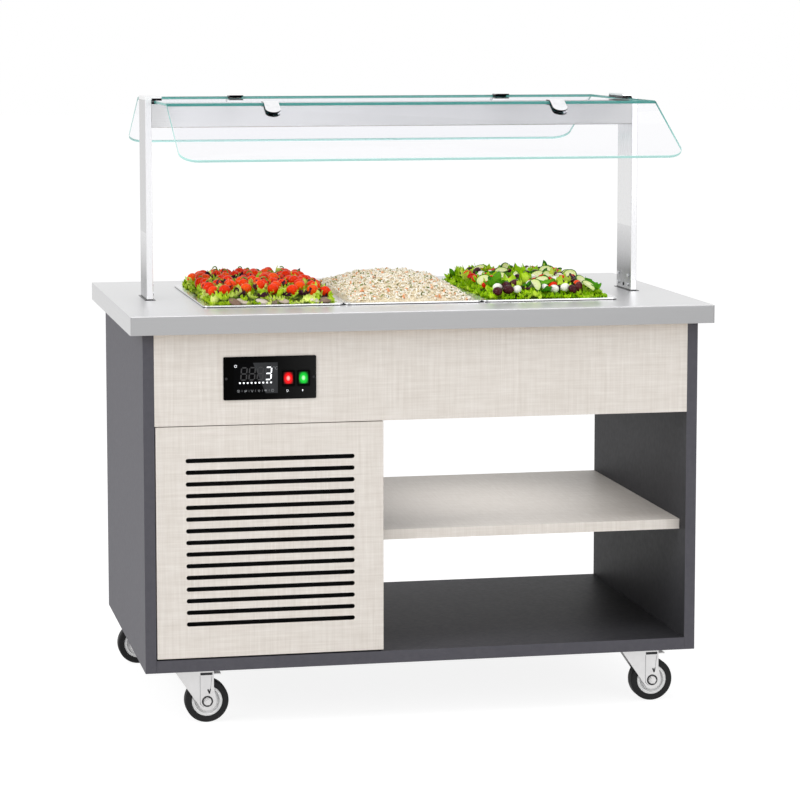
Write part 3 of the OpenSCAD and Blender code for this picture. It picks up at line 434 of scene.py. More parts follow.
pan_steel = plated("pan_steel", (222, 223, 224), 0.2)
tank_steel = plated("tank_steel", (205, 206, 208), 0.25)
chrome = plated("chrome", (250, 250, 252), 0.09, 0.00001)
zinc = plated("zinc", (214, 213, 213), 0.38, 0.00005, (45, 45, 45))
screw_steel = plated("screw_steel", (225, 226, 228), 0.22)
copper = plated("copper", (214, 132, 96), 0.3)
brass = plated("brass", (198, 170, 104), 0.32)
fin_metal = plated("fin_metal", (186, 190, 195), 0.4, 0.00006, (30, 30, 200))
black_enamel = plated("black_enamel", (34, 34, 37), 0.3)
shader_of(black_enamel).inputs["Metallic"].default_value = 0.0
print("nine sheet metal finishes")

# %% [markdown]
# The upright edges of the pans' rims have a painted reflection: dark at their foot, for the dark side of the
# room, and bright above, for the lamps. The thin edges of the chromed clips are painted dark the same way.
# The two screws of the control panel are blackened.

# %% Painted reflections on edges, and dark screws
RIM_UPRIGHT = 0.35
RIM_LOW, RIM_HIGH = 0.940, 0.950
CLIP_FLAT = 0.7
BEZEL_FRONT = -0.39

# Painted reflection on the upright edges of the rims: dark at their foot, bright at their top.
rim_edge = under(pan_steel, off_middle(pan_steel, "Z", "Normal"), RIM_UPRIGHT)
rim_painted_reflection = ramped(pan_steel, run_along(pan_steel, "Z", RIM_LOW, RIM_HIGH), (0.30, grey(156, 2)),
                    (0.36, grey(62, 2)), (0.58, grey(62, 2)), (0.64, grey(232)))
overlaid(pan_steel, rim_edge, rim_painted_reflection)
# Painted reflection: the thin edges of the clips are painted nearly black.
overlaid(chrome, under(chrome, off_middle(chrome, "Z", "Normal"), CLIP_FLAT), grey(24, 3))
overlaid(screw_steel, under(screw_steel, coordinate(screw_steel, "Y"), BEZEL_FRONT), grey(52, 2))
print("edges darkened")

# %% [markdown]
# ## Linen laminate
# The fascias, the louvred panels and the shelf have a laminate that is printed and pressed like linen. Pale
# threads cross at right angles, and no two are alike: some are thick, some are short. Each direction of
# thread is one noise that is stretched along it, in a fine and a coarse layer, and the two directions are
# added. The threads run along X, and across it along Y and Z, so the same finish works on upright and
# on level boards.

# %% Linen laminate
THREAD = 420
SLUB = 120
ALONG = 9


def linen(name):
    mat = finish(name, (222, 214, 206), rough=0.5)
    weft = grain(mat, (ALONG, THREAD, THREAD), 2.0)
    warp = grain(mat, (THREAD, ALONG, ALONG), 2.0)
    weft_slub = grain(mat, (2 * ALONG, SLUB, SLUB), 2.0)
    warp_slub = grain(mat, (SLUB, 2 * ALONG, ALONG), 2.0)
    fine = sums(mat, "ADD", weft, warp)
    coarse = sums(mat, "ADD", weft_slub, warp_slub)
    weave = sums(mat, "MULTIPLY", sums(mat, "ADD", fine, coarse), 0.25)
    colour_by(mat, weave, (0.36, (213, 205, 196)), (0.5, (222, 215, 207)), (0.64, (231, 225, 218)))
    roughen(mat, weave, 0.42, 0.58)
    return relief(mat, fine, 0.00008, 0.5)


linen_laminate = linen("linen_laminate")
print("linen laminate with", THREAD, "threads in a metre")

# %% [markdown]
# The louvred panels have the same laminate, but the walls of their slots are painted black, as painted
# shade, so that a slot looks black right up to its edge. The mask is a box: it holds all that lies among the
# slots and deeper than the outer face.

# %% Linen laminate with painted shade in the slots
SLOT_FIELD_X = (-0.5485, -0.1635)
SLOT_FIELD_Z = (0.2380, 0.6210)
SLOT_DEPTH = 0.3933

vented_laminate = linen("vented_laminate")
among_slots = where_both(vented_laminate,
                         between(vented_laminate, coordinate(vented_laminate, "X"), *SLOT_FIELD_X),
                         between(vented_laminate, coordinate(vented_laminate, "Z"), *SLOT_FIELD_Z))
deep = under(vented_laminate, off_middle(vented_laminate, "Y"), SLOT_DEPTH)
# Painted shade: the slot walls are painted black.
overlaid(vented_laminate, where_both(vented_laminate, deep, among_slots), (6, 6, 6))
print("slot walls black")

# %% [markdown]
# ## Anthracite laminate
# The carcass is a plain dark grey laminate with a pearl surface. A very fine grain breaks up its shine, and
# a faint mottle keeps large panels from looking printed. Its inner faces are painted darker, as painted shade
# inside the carcass, and darker still towards the right of the open bay.

# %% Anthracite laminate
INSIDE_X, INSIDE_Y = 0.6180, 0.3925
BAY_LEFT, BAY_RIGHT = 0.1, 0.6

anthracite = finish("anthracite_laminate", (84, 84, 89), rough=0.5, Specular_IOR_Level=0.08)
pearl = grain(anthracite, (900, 900, 900), 2.0)
mottle = grain(anthracite, (90, 90, 90), 3.0)
colour_by(anthracite, mottle, (0.3, (84, 83, 89)), (0.7, (88, 87, 93)))
roughen(anthracite, mottle, 0.48, 0.54)
relief(anthracite, pearl, 0.00006, 0.4)
# Painted shade: the inner faces are painted darker, more so towards the right of the bay.
inside = where_both(anthracite, under(anthracite, off_middle(anthracite, "X"), INSIDE_X),
                    under(anthracite, off_middle(anthracite, "Y"), INSIDE_Y))
inside_shade_run = shared(anthracite, 0.9, run_along(anthracite, "X", BAY_LEFT, BAY_RIGHT), mottle)
overlaid(anthracite, inside, ramped(anthracite, inside_shade_run, (0.05, (68, 67, 72)), (0.95, (52, 52, 55))))
print("anthracite inside and out")

# %% [markdown]
# ## Raw board and foam
# The core of the worktop is raw chipboard, which only shows where the sheet ends, and the tank is packed in
# yellow foam. Coarse noise gives the chips of the one and the cells of the other.

# %% Raw board and foam
raw_board = finish("raw_board", (196, 170, 134), rough=0.8)
chips = grain(raw_board, (260, 90, 260), 4.0)
colour_by(raw_board, chips, (0.3, (160, 130, 94)), (0.7, (214, 190, 154)))
relief(raw_board, chips, 0.0004)

foam_yellow = finish("foam_yellow", (236, 224, 168), rough=0.85)
cells = grain(foam_yellow, (350, 350, 350), 3.0)
colour_by(foam_yellow, cells, (0.3, (222, 206, 146)), (0.7, (243, 234, 188)))
relief(foam_yellow, cells, 0.0005)
print("board and foam ready")

# %% [markdown]
# ## Plastics and rubber
# The control panel and the switch housings are moulded in black plastic with a fine spark-eroded grain. The
# tyres are rubber, rougher and a little greyer, and the hubs are a pale nylon. The control panel is painted
# lighter towards its right end, a painted reflection of the room.

# %% Plastics and rubber
BEZEL_LEFT, BEZEL_RIGHT = -0.470, -0.245


def moulded(name, colour, rough, depth=0.00005, per_metre=1400, **sockets):
    mat = finish(name, colour, rough=rough, **sockets)
    fine = grain(mat, (per_metre,) * 3, 2.0)
    clouds = grain(mat, (18, 18, 18), 3.0)
    dark = tuple(max(0, v - 6) for v in colour)
    light = tuple(min(255, v + 5) for v in colour)
    colour_by(mat, clouds, (0.3, dark), (0.7, light))
    roughen(mat, clouds, rough - 0.06, rough + 0.08)
    return relief(mat, fine, depth, 0.5)


panel_black = moulded("panel_black", (7, 7, 7), 0.6, Specular_IOR_Level=0.0)
# Painted reflection: the panel is painted lighter towards its right end.
colour_by(panel_black, run_along(panel_black, "X", BEZEL_LEFT, BEZEL_RIGHT), (0.0, (8, 8, 8)),
          (0.5, (16, 16, 16)), (1.0, (36, 36, 36)))
housing_black = moulded("housing_black", (8, 8, 8), 0.4, Specular_IOR_Level=0.02)
rubber_black = moulded("rubber_black", (24, 24, 26), 0.65)
tyre_rubber = moulded("tyre_rubber", (34, 34, 35), 0.62, 0.0001, 700, Specular_IOR_Level=0.2)
hub_nylon = moulded("hub_nylon", (246, 246, 246), 0.42)
lever_red = moulded("lever_red", (188, 34, 28), 0.4)
motor_grey = moulded("motor_grey", (96, 98, 102), 0.45)
fan_grey = moulded("fan_grey", (200, 202, 205), 0.4)
opal_plastic = moulded("opal_plastic", (246, 246, 240), 0.35)
lamp_grey = moulded("lamp_grey", (206, 208, 210), 0.4)
print("ten plastics")

# %% [markdown]
# ## Lit rocker switches
# Each rocker is a clear coloured cap with a small lamp behind its middle, so it is nearly white in the
# centre and falls off to a deep colour at its edges. A spherical gradient about the rocker's own middle
# gives that, squeezed to the cap's proportions. The light comes from the shader's emission.

# %% Lit rocker switches
ROCKER_MIDDLE = {"rocker_power": (-0.3155, 0.796), "rocker_light": (-0.281, 0.796)}
ROCKER_GLOW = (0.0125, 0.0165)


def lit_cap(name, rocker, edge_colour, body_colour, core_colour):
    mat = finish(name, edge_colour, rough=0.3, Specular_IOR_Level=0.12)
    across, up = ROCKER_GLOW
    middle_x, middle_z = ROCKER_MIDDLE[rocker]
    spot = add_node(mat, "TexGradient")
    spot.gradient_type = "SPHERICAL"
    squeezed = placed(mat, (1 / across, 0, 1 / up), (-middle_x / across, 0, -middle_z / up))
    wire(mat, squeezed, spot.inputs["Vector"])
    glow = spot.outputs["Fac"]
    colour_by(mat, glow, (0.1, edge_colour), (0.5, body_colour))
    light = ramped(mat, glow, (0.0, (0, 0, 0)), (0.4, body_colour), (0.6, body_colour), (0.88, core_colour))
    wire(mat, light, shader_of(mat).inputs["Emission Color"])
    shader_of(mat).inputs["Emission Strength"].default_value = 1.0
    return mat


red_cap = lit_cap("red_cap", "rocker_power", (60, 2, 4), (196, 6, 12), (255, 196, 188))
green_cap = lit_cap("green_cap", "rocker_light", (4, 56, 16), (8, 160, 40), (206, 255, 206))
print("rockers lit at", ROCKER_MIDDLE)

# %% [markdown]
# ## The display's window
# The display sits behind a dark acrylic window. It is almost black, with a coat of gloss, and its right
# side has a slanting band of painted reflection of room light. That band is painted into the colour: it
# starts at a line that leans to the right as it comes down.

# %% The display's window
SHEEN_LEAN = 0.41
SHEEN_START = -0.0545
SHEEN_SOFT = 0.0012

window_black = finish("window_black", (8, 8, 9), rough=0.12, Specular_IOR_Level=0.01)
# Painted reflection: a slanting band of room light is painted into the window's colour.
leaning = sums(window_black, "ADD", coordinate(window_black, "X"),
               sums(window_black, "MULTIPLY", coordinate(window_black, "Z"), SHEEN_LEAN))
band = ranged(window_black, leaning, 0.0, 1.0, SHEEN_START, SHEEN_START + SHEEN_SOFT)
smudge = sums(window_black, "MULTIPLY", grain(window_black, (40, 40, 40), 3.0), 0.5)
sheen = sums(window_black, "MULTIPLY", band, sums(window_black, "ADD", smudge, 0.5))
colour_by(window_black, sheen, (0.0, (10, 10, 11)), (0.9, (62, 63, 65)))
roughen(window_black, smudge, 0.08, 0.2)
print("window with a slanting sheen")

# %% [markdown]
# ## Finishes for the solids
# A table says which finish each solid takes. The solids keep their meshes, and only what is in their
# material slots changes.

# %% Finishes for the solids
FINISHES = {
    worktop_steel: ["worktop_skin"],
    raw_board: ["worktop_core"],
    tank_steel: ["well_tank", "well_bars"],
    foam_yellow: ["well_foam"],
    pan_steel: ["pan_left", "pan_middle", "pan_right"],
    anthracite: ["side_panel_left", "side_panel_right", "floor_board", "well_deck", "bay_divider",
                 "battens"],
    linen_laminate: ["fascia_front", "fascia_rear", "shelf"],
    vented_laminate: ["service_panel", "rear_vent_panel"],
    panel_black: ["control_bezel"],
    window_black: ["display_window"],
    housing_black: ["control_housings", "cable_gland"],
    red_cap: ["rocker_power"],
    green_cap: ["rocker_light"],
    zinc: ["unit_tray", "post_brackets", "caster_plates", "brake_pedal_left", "brake_pedal_right"],
    black_enamel: ["compressor"],
    fin_metal: ["condenser"],
    motor_grey: ["fan_motor"],
    fan_grey: ["fan_rotor"],
    copper: ["copper_pipes"],
    brass: ["drain_pipe"],
    lever_red: ["drain_lever"],
    post_steel: ["posts"],
    beam_steel: ["lamp_beam"],
    cap_steel: ["post_caps"],
    lamp_grey: ["lamp_body"],
    opal_plastic: ["lamp_diffuser"],
    chrome: ["glass_clips"],
    rubber_black: ["rubber_pads"],
    screw_steel: ["fixings"],
}
WHEELS = ["front_left", "front_right", "rear_left", "rear_right"]
for wheel in WHEELS:
    FINISHES[zinc].append("caster_fork_" + wheel)
FINISHES[hub_nylon] = ["caster_hub_" + wheel for wheel in WHEELS]
FINISHES[tyre_rubber] = ["caster_tyre_" + wheel for wheel in WHEELS]


def give(solid, mat):
    if not solid.material_slots:
        solid.data.materials.append(mat)
    for slot in solid.material_slots:
        slot.material = mat


for mat, names in FINISHES.items():
    for name in names:
        give(solids[name], mat)
plain = sorted(set(solids) - {n for names in FINISHES.values() for n in names})
print("solids left to be replaced:", plain)

# %% [markdown]
# ## From a bmesh to a piece
# New pieces are shaped with bmesh operators. This helper turns one into an object, shades it smooth up to
# a chosen angle, gives it its finish, and lets it ride on the part of the cart that carries it.

# %% From a bmesh to a piece
def piece(bm, name, body, mats, smooth=40):
    """Makes the bmesh an object that rides on a body, smooth at edges of less than so many degrees"""
    bmesh.ops.recalc_face_normals(bm, faces=bm.faces)
    mesh = bpy.data.meshes.new(name)
    bm.to_mesh(mesh)
    bm.free()
    mesh.shade_smooth()
    mesh.set_sharp_from_angle(angle=math.radians(smooth))
    for mat in mats if isinstance(mats, list) else [mats]:
        mesh.materials.append(mat)
    obj = bpy.data.objects.new(name, mesh)
    bpy.context.scene.collection.objects.link(obj)
    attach(obj, body)
    print(f"{name}: {len(mesh.polygons)} faces")
    return obj


def new_verts(result):
    """The vertices among what an operator says it made"""
    return [g for g in result["geom"] if isinstance(g, bmesh.types.BMVert)]


def faces_on(verts):
    return list({face for vert in verts for face in vert.link_faces})


# %% [markdown]
# ## Glass with green edges
# The canopy is three panes of float glass. Seen through its face the glass is clear, with a breath of
# blue, but seen into its ground edge it is sea green, because the light has come a long way through it. A
# real slab of glass in a path tracer is slow and casts too dark a shadow. So the faces are a mix: mostly a
# transparent shader, and a mirror whose share rises at a low angle. The edges are a second finish, deep
# green along the knee, where two edges meet, and paler towards the free edges below.

# %% Glass finishes
MIRROR_SHARE = 0.12
EDGE_LOW, EDGE_HIGH = 1.300, 1.402

pane_face = finish("pane_face", (244, 246, 248), metal=1.0, rough=0.02)
through = add_node(pane_face, "BsdfTransparent", Color=linear(252, 252, 253))
weight = add_node(pane_face, "LayerWeight", Blend=0.12)
dust = grain(pane_face, (6, 6, 6), 4.0)
mirrored = sums(pane_face, "ADD", sums(pane_face, "MULTIPLY", weight.outputs["Fresnel"], MIRROR_SHARE),
                ranged(pane_face, dust, 0.004, 0.012))
mixed_shaders(pane_face, mirrored, through.outputs[0], shader_of(pane_face).outputs[0])
roughen(pane_face, dust, 0.01, 0.04)

pane_edge = finish("pane_edge", (70, 168, 156), rough=0.25, Coat_Weight=0.3)
ground = grain(pane_edge, (500, 500, 500), 2.0)
greener = shared(pane_edge, 0.9, run_along(pane_edge, "Z", EDGE_LOW, EDGE_HIGH), ground)
colour_by(pane_edge, greener, (0.05, (178, 226, 220)), (0.6, (116, 198, 188)), (0.97, (48, 152, 144)))
relief(pane_edge, ground, 0.00005, 0.4)
print("glass face and glass edge")

# %% [markdown]
# ## The three panes
# A pane starts as one square face. Bevelling its corner vertices rounds them, extruding gives it its
# thickness, and a fine bevel breaks the edges, which is what makes a cut pane of glass glint. The top pane
# lies level, and the other two hang from it at 26 degrees, as mirror images.

# %% The three panes
GLASS_THICK = 0.006
GLASS_WIDE = 1.140
ARRIS = 0.0007
TOP_CORNER, FREE_CORNER = 0.003, 0.040
KNEE = Vector((0, 0.2775, 1.4045))
SLOPE = math.radians(26)
HANG = 0.262
HANG_START = 0.0015
TOUCH = 1e-6


def pane(name, node, deep, hangs, place):
    """A pane with four small corners, or with two large ones at its free end if it hangs"""
    bm = bmesh.new()
    bmesh.ops.create_grid(bm, x_segments=1, y_segments=1, size=0.5)
    bmesh.ops.scale(bm, vec=(GLASS_WIDE, deep, 1), verts=bm.verts)
    corners = [v for v in bm.verts if v.co.y > 0 or not hangs]
    bmesh.ops.bevel(bm, geom=corners, offset=FREE_CORNER if hangs else TOP_CORNER, offset_type="OFFSET",
                    segments=14 if hangs else 4, profile=0.5, affect="VERTICES", material=-1)
    top = new_verts(bmesh.ops.extrude_face_region(bm, geom=bm.faces[:]))
    bmesh.ops.translate(bm, vec=(0, 0, GLASS_THICK), verts=top)
    bmesh.ops.translate(bm, vec=(0, 0, -GLASS_THICK / 2), verts=bm.verts)
    rims = [e for e in bm.edges if all(abs(v.co.z) > GLASS_THICK / 2 - TOUCH for v in e.verts)
            and abs(e.verts[0].co.z - e.verts[1].co.z) < TOUCH]
    bmesh.ops.bevel(bm, geom=rims, offset=ARRIS, offset_type="OFFSET", segments=2, profile=0.5,
                    affect="EDGES", material=-1)
    bm.normal_update()
    for face in bm.faces:
        face.material_index = 0 if abs(face.normal.z) > 0.99 else 1
    bmesh.ops.transform(bm, matrix=place, verts=bm.verts)
    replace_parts(piece(bm, name, "base", [pane_face, pane_edge], smooth=30), node)


lowest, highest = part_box("canopy_top_glass")
level = Matrix.Translation((0, 0, (lowest.z + highest.z) / 2))
pane("pane_top", "canopy_top_glass", highest.y - lowest.y, False, level)
hanging = (Matrix.Translation(KNEE) @ Matrix.Rotation(-SLOPE, 4, "X")
           @ Matrix.Translation((0, HANG_START + HANG / 2, 0)))
pane("pane_rear", "canopy_rear_glass", HANG, True, hanging)
pane("pane_front", "canopy_front_glass", HANG, True, Matrix.Scale(-1, 4, (0, 1, 0)) @ hanging)

# %% [markdown]
# ## Dust filters behind the louvres
# Behind each louvred panel hangs a black pleated mat that keeps dust off the condenser. Its black is
# painted shade for the space behind the louvres: from outside it is why the slots look black. It is a grid
# whose rows are pushed in and out in turn, and then thickened.

# %% Dust filters
# The filter's near-black is painted shade for the space behind the louvres.
filter_shade_black = finish("filter_shade_black", (14, 14, 15), rough=0.95)
fleece = grain(filter_shade_black, (900, 900, 900), 3.0)
colour_by(filter_shade_black, fleece, (0.35, (6, 6, 7)), (0.7, (20, 20, 21)))
relief(filter_shade_black, fleece, 0.0005)

FILTER_WIDE = 0.400
FILTER_HIGH = 0.402
FILTER_X, FILTER_Z = -0.35625, 0.4295
PLEAT = 0.0015
PLEATS = 50
PANEL_THICK = 0.019
FILTER_GAP = 0.0004


def dust_filter(name, body, inner_y, inward):
    bm = bmesh.new()
    bmesh.ops.create_grid(bm, x_segments=PLEATS, y_segments=1, size=0.5)
    bmesh.ops.scale(bm, vec=(FILTER_WIDE, FILTER_HIGH, 1), verts=bm.verts)
    for vert in bm.verts:
        fold = round((vert.co.x / FILTER_WIDE + 0.5) * PLEATS) % 2
        vert.co.z = PLEAT * fold
    back = new_verts(bmesh.ops.extrude_face_region(bm, geom=bm.faces[:]))
    bmesh.ops.translate(bm, vec=(0, 0, PLEAT), verts=back)
    upright = Matrix.Rotation(math.radians(-90 * inward), 4, "X")
    place = Matrix.Translation((FILTER_X, inner_y, FILTER_Z)) @ upright
    bmesh.ops.transform(bm, matrix=place, verts=bm.verts)
    piece(bm, name, body, filter_shade_black, smooth=20)


panel_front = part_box("service_panel")[0].y
panel_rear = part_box("rear_vent_panel")[1].y
dust_filter("dust_filter_front", "service_panel", panel_front + PANEL_THICK + FILTER_GAP, 1)
dust_filter("dust_filter_rear", "base", panel_rear - PANEL_THICK - FILTER_GAP, -1)

# %% [markdown]
# ## Marks with a little thickness
# Everything on the display and under the switches is drawn flat and then given a tenth of a millimetre, so
# it needs no picture. Two helpers do that and turn the marks onto an upright face.

# %% Marks with a little thickness
INK_THICK = 0.00012
glass_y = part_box("display_window")[0].y
bezel_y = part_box("control_bezel")[0].y


def on_front(bm, verts, x, z, face_y, slant=0.0):
    """Moves marks drawn in XY onto an upright face that looks to -Y"""
    lean = Matrix.Identity(4)
    lean[0][1] = slant
    upright = Matrix.Rotation(math.pi / 2, 4, "X")
    bmesh.ops.transform(bm, matrix=Matrix.Translation((x, face_y, z)) @ upright @ lean, verts=verts)


def raised(bm, faces):
    """Gives flat marks a little thickness"""
    verts = new_verts(bmesh.ops.extrude_face_region(bm, geom=faces))
    bmesh.ops.translate(bm, vec=(0, 0, INK_THICK), verts=verts)


print("display at", round(glass_y, 4))

# %% [markdown]
# The inks are plain colours with a faint noise in them, so that no mark is perfectly even. The lit one
# glows by itself.

# %% Inks
INK_GRAINS = (300, 300, 300)


def ink(name, darker, paler, rough=0.4, **sockets):
    mat = finish(name, paler, rough=rough, **sockets)
    return colour_by(mat, grain(mat, INK_GRAINS), (0.3, darker), (0.7, paler))


lit_white = ink("lit_white", (230, 232, 236), (250, 252, 255), Emission_Strength=0.9)
shader_of(lit_white).inputs["Emission Color"].default_value = linear(250, 252, 255)
dim_grey = ink("dim_grey", (30, 30, 32), (40, 40, 42))
symbol_grey = ink("symbol_grey", (108, 110, 113), (130, 132, 135), 0.5)
print("three inks")

# %% [markdown]
# ## Figures on the display
# The display shows one bright figure, and three more that are off and only just visible. A seven-segment
# figure is made of seven hexagons that are pulled long. Each segment has a letter, and its place is given
# in halves of the figure's width and height.

# %% Figures on the display
FIGURE_WIDE = 0.0125
FIGURE_HIGH = 0.0275
FIGURE_SLANT = 0.08
STROKE = 0.0028
SEGMENT_GAP = 0.0004
DIGIT_X, DIGIT_Z = -0.3603, 0.808
DIGIT_STEP = 0.0185
SEGMENTS = {
    "a": (0, 1, False), "g": (0, 0, False), "d": (0, -1, False),
    "b": (1, 0.5, True), "c": (1, -0.5, True), "e": (-1, -0.5, True), "f": (-1, 0.5, True),
}


def segment(bm, middle, length, upright):
    """A hexagon whose two side points are pulled out"""
    made = bmesh.ops.create_circle(bm, cap_ends=True, segments=6, radius=1.0)["verts"]
    for v in made:
        point = abs(v.co.y) < 0.1
        v.co.x = math.copysign((length if point else length - STROKE) / 2, v.co.x)
        v.co.y = 0 if point else math.copysign(STROKE / 2, v.co.y)
    turn = Matrix.Rotation(math.pi / 2 if upright else 0, 4, "Z")
    bmesh.ops.transform(bm, matrix=Matrix.Translation((*middle, 0)) @ turn, verts=made)
    return made


def figures(name, mat, wanted):
    """Draws (place, letters) into one mesh, with the places counted from the right"""
    bm = bmesh.new()
    done = set()
    for place, letters in wanted:
        made = []
        for letter in letters:
            across, up, upright = SEGMENTS[letter]
            middle = (across * FIGURE_WIDE / 2, up * FIGURE_HIGH / 2)
            length = (FIGURE_HIGH / 2 if upright else FIGURE_WIDE) - SEGMENT_GAP
            made += segment(bm, middle, length, upright)
        raised(bm, faces_on(made))
        x = DIGIT_X - place * DIGIT_STEP
        on_front(bm, list(set(bm.verts) - done), x, DIGIT_Z, glass_y, FIGURE_SLANT)
        done.update(bm.verts)
    piece(bm, name, "base", mat)


figures("display_figure", lit_white, [(0, "abgcd")])
figures("display_figures_off", dim_grey, [(1, "abcdefg"), (2, "abcdefg"), (3, "abcdefg"), (0, "ef")])

# %% [markdown]
# ## Rings, discs and strokes
# All other marks are rings, discs and strokes, made by the same steps: a circle or a square, a face, a
# little thickness, and a turn onto the window. One function stamps a list of them.

# %% Rings, discs and strokes
def stamp(bm, x, z, face_y, shapes):
    """Shapes: ('disc', x, y, radius), ('ring', x, y, radius, wall), ('bar', x, y, length, thick, angle)"""
    before = set(bm.verts)
    faces = []
    for kind, sx, sy, *rest in shapes:
        if kind == "disc":
            made = bmesh.ops.create_circle(bm, cap_ends=True, segments=20, radius=rest[0])["verts"]
        elif kind == "ring":
            made = bmesh.ops.create_circle(bm, cap_ends=True, segments=24, radius=rest[0])["verts"]
            face = made[0].link_faces[0]
            bmesh.ops.inset_region(bm, faces=[face], use_boundary=True, thickness=rest[1], depth=0)
            bmesh.ops.delete(bm, geom=[face], context="FACES_ONLY")
            made = list(set(bm.verts) - before - {v for f in faces for v in f.verts})
        else:
            made = bmesh.ops.create_grid(bm, x_segments=1, y_segments=1, size=0.5)["verts"]
            bmesh.ops.scale(bm, vec=(rest[0], rest[1], 1), verts=made)
            turn = Matrix.Rotation(math.radians(rest[2]), 3, "Z")
            bmesh.ops.rotate(bm, cent=(0, 0, 0), matrix=turn, verts=made)
        bmesh.ops.translate(bm, vec=(sx, sy, 0), verts=made)
        faces += faces_on(made)
    raised(bm, faces)
    on_front(bm, list(set(bm.verts) - before), x, z, face_y)


print("stamp ready")

# %% [markdown]
# Under the figures is a row of nine small square lamps. A ring in the upper left corner stands for the
# power key.

# %% Lamps of the display
LAMP_Z = 0.7875
LAMP_FIRST, LAMP_LAST = -0.425, -0.3547
LAMP_COUNT = 9
POWER_X, POWER_Z = -0.4346, 0.8257

bm = bmesh.new()
for i in range(LAMP_COUNT):
    x = LAMP_FIRST + (LAMP_LAST - LAMP_FIRST) * i / (LAMP_COUNT - 1)
    stamp(bm, x, LAMP_Z, glass_y, [("bar", 0, 0, 0.0036, 0.0034, 0)])
stamp(bm, POWER_X, POWER_Z, glass_y, [("ring", 0, 0, 0.0030, 0.0007)])
piece(bm, "display_lamps", "base", lit_white)

# %% [markdown]
# Under the lamps is a row of six faint symbols with dividing strokes, and there is a symbol under each
# rocker: a ring for power and a bulb for the light. They are generic signs and stand for no maker.

# %% Symbols
SYMBOL_Z = 0.7694
SYMBOLS = {
    -0.4285: [("ring", 0, 0, 0.0032, 0.0009), ("disc", 0, 0, 0.0012)],
    -0.4121: [("bar", 0, 0, 0.0075, 0.0011, 40), ("bar", 0.001, -0.001, 0.005, 0.0011, 40),
              ("bar", -0.002, 0.001, 0.004, 0.001, 40)],
    -0.3976: [("bar", -0.0013, 0, 0.006, 0.0009, -68), ("bar", 0.0013, 0, 0.006, 0.0009, 68)],
    -0.3820: [("disc", 0, 0, 0.0019), ("bar", 0, 0, 0.0064, 0.0007, 0), ("bar", 0, 0, 0.0064, 0.0007, 60),
              ("bar", 0, 0, 0.0064, 0.0007, 120)],
    -0.3666: [("disc", -0.0008, 0.0006, 0.0022), ("bar", 0.002, 0, 0.005, 0.0008, 90)],
    -0.3513: [("ring", 0, 0, 0.0032, 0.0008), ("bar", 0, 0.0008, 0.0022, 0.0007, 90)],
}
DIVIDERS = (-0.4203, -0.4045, -0.3900, -0.3743, -0.3590)
SWITCH_SYMBOL_Z = 0.7680

bm = bmesh.new()
for x, shapes in SYMBOLS.items():
    stamp(bm, x, SYMBOL_Z, glass_y, shapes)
for x in DIVIDERS:
    stamp(bm, x, SYMBOL_Z, glass_y, [("bar", 0, 0, 0.005, 0.0006, 90)])
piece(bm, "display_symbols", "base", symbol_grey)

bulb = [("disc", 0, 0.0006, 0.0014), ("bar", 0, -0.0018, 0.0012, 0.0012, 0)]
bm = bmesh.new()
stamp(bm, -0.3176, SWITCH_SYMBOL_Z, bezel_y, [("ring", 0, 0, 0.0024, 0.0005)])
stamp(bm, -0.2830, SWITCH_SYMBOL_Z, bezel_y, bulb)
# The symbols under the rockers are print, but lit_white makes them glow: a glow of painted light.
piece(bm, "switch_symbols", "base", lit_white)

# %% [markdown]
# ## Marks on the forks of the casters
# The cheeks of a fork are pressed from sheet. Around each axle nut the sheet is pressed in, and a crease runs
# down from under the crown. Their shade is painted on as marks: a dark ring of painted shade around the nut,
# a dark bar of painted shade under the crown, two dark strokes of painted shade above the axle, and strips of
# painted shade, a darker grey, along the creases. They are stamped like the symbols, once for the front
# cheek, and mirrored for the rear cheek and for the casters that trail the other way. Places are counted from
# the axle.

# %% Marks on the forks
# Painted shade: the dark ring, bar and strokes on the cheeks, and the creases in a darker grey than the zinc.
shadow_grey = moulded("shadow_grey", (46, 46, 48), 0.7)
crease_shade_grey = moulded("crease_shade_grey", (158, 158, 160), 0.5)
CHEEK_OUT = 0.02105
FORK_SHADES = [("ring", 0, 0, 0.0130, 0.0038), ("bar", -0.0020, 0.0640, 0.028, 0.006, 0),
             ("bar", 0.0030, 0.0230, 0.011, 0.0035, -68), ("bar", 0.0058, 0.0240, 0.010, 0.0025, 78)]
FORK_CREASE_SHADES = [("bar", -0.0165, 0.0270, 0.066, 0.0012, 90), ("bar", 0.0085, 0.0400, 0.036, 0.0010, 84),
                ("bar", -0.0130, -0.0085, 0.012, 0.0012, -45)]


def cheek_marks(name, wheel, mat, shapes):
    low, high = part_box("caster_hub_" + wheel)
    axle = (low + high) / 2
    trails = 1 if "front" in wheel else -1
    bm = bmesh.new()
    for cheek in (1, -1):
        before = set(bm.verts)
        stamp(bm, 0, 0, -CHEEK_OUT, shapes)
        made = list(set(bm.verts) - before)
        bmesh.ops.scale(bm, vec=(trails, cheek, 1), verts=made)
    bmesh.ops.translate(bm, vec=axle, verts=bm.verts)
    piece(bm, f"{name}_{wheel}", "fork_" + wheel, mat)


for wheel in WHEELS:
    cheek_marks("fork_shade_marks", wheel, shadow_grey, FORK_SHADES)
    cheek_marks("fork_crease_shades", wheel, crease_shade_grey, FORK_CREASE_SHADES)

# %% [markdown]
# ## The sign for degrees
# Lettering starts as a text object, because the font already has the curves. It is turned into a mesh
# before it is placed, so that the finished piece sits at the origin like all the others.

# %% The sign for degrees
SIGN_HIGH = 0.0095
SIGN_X, SIGN_Z = -0.3500, 0.8165

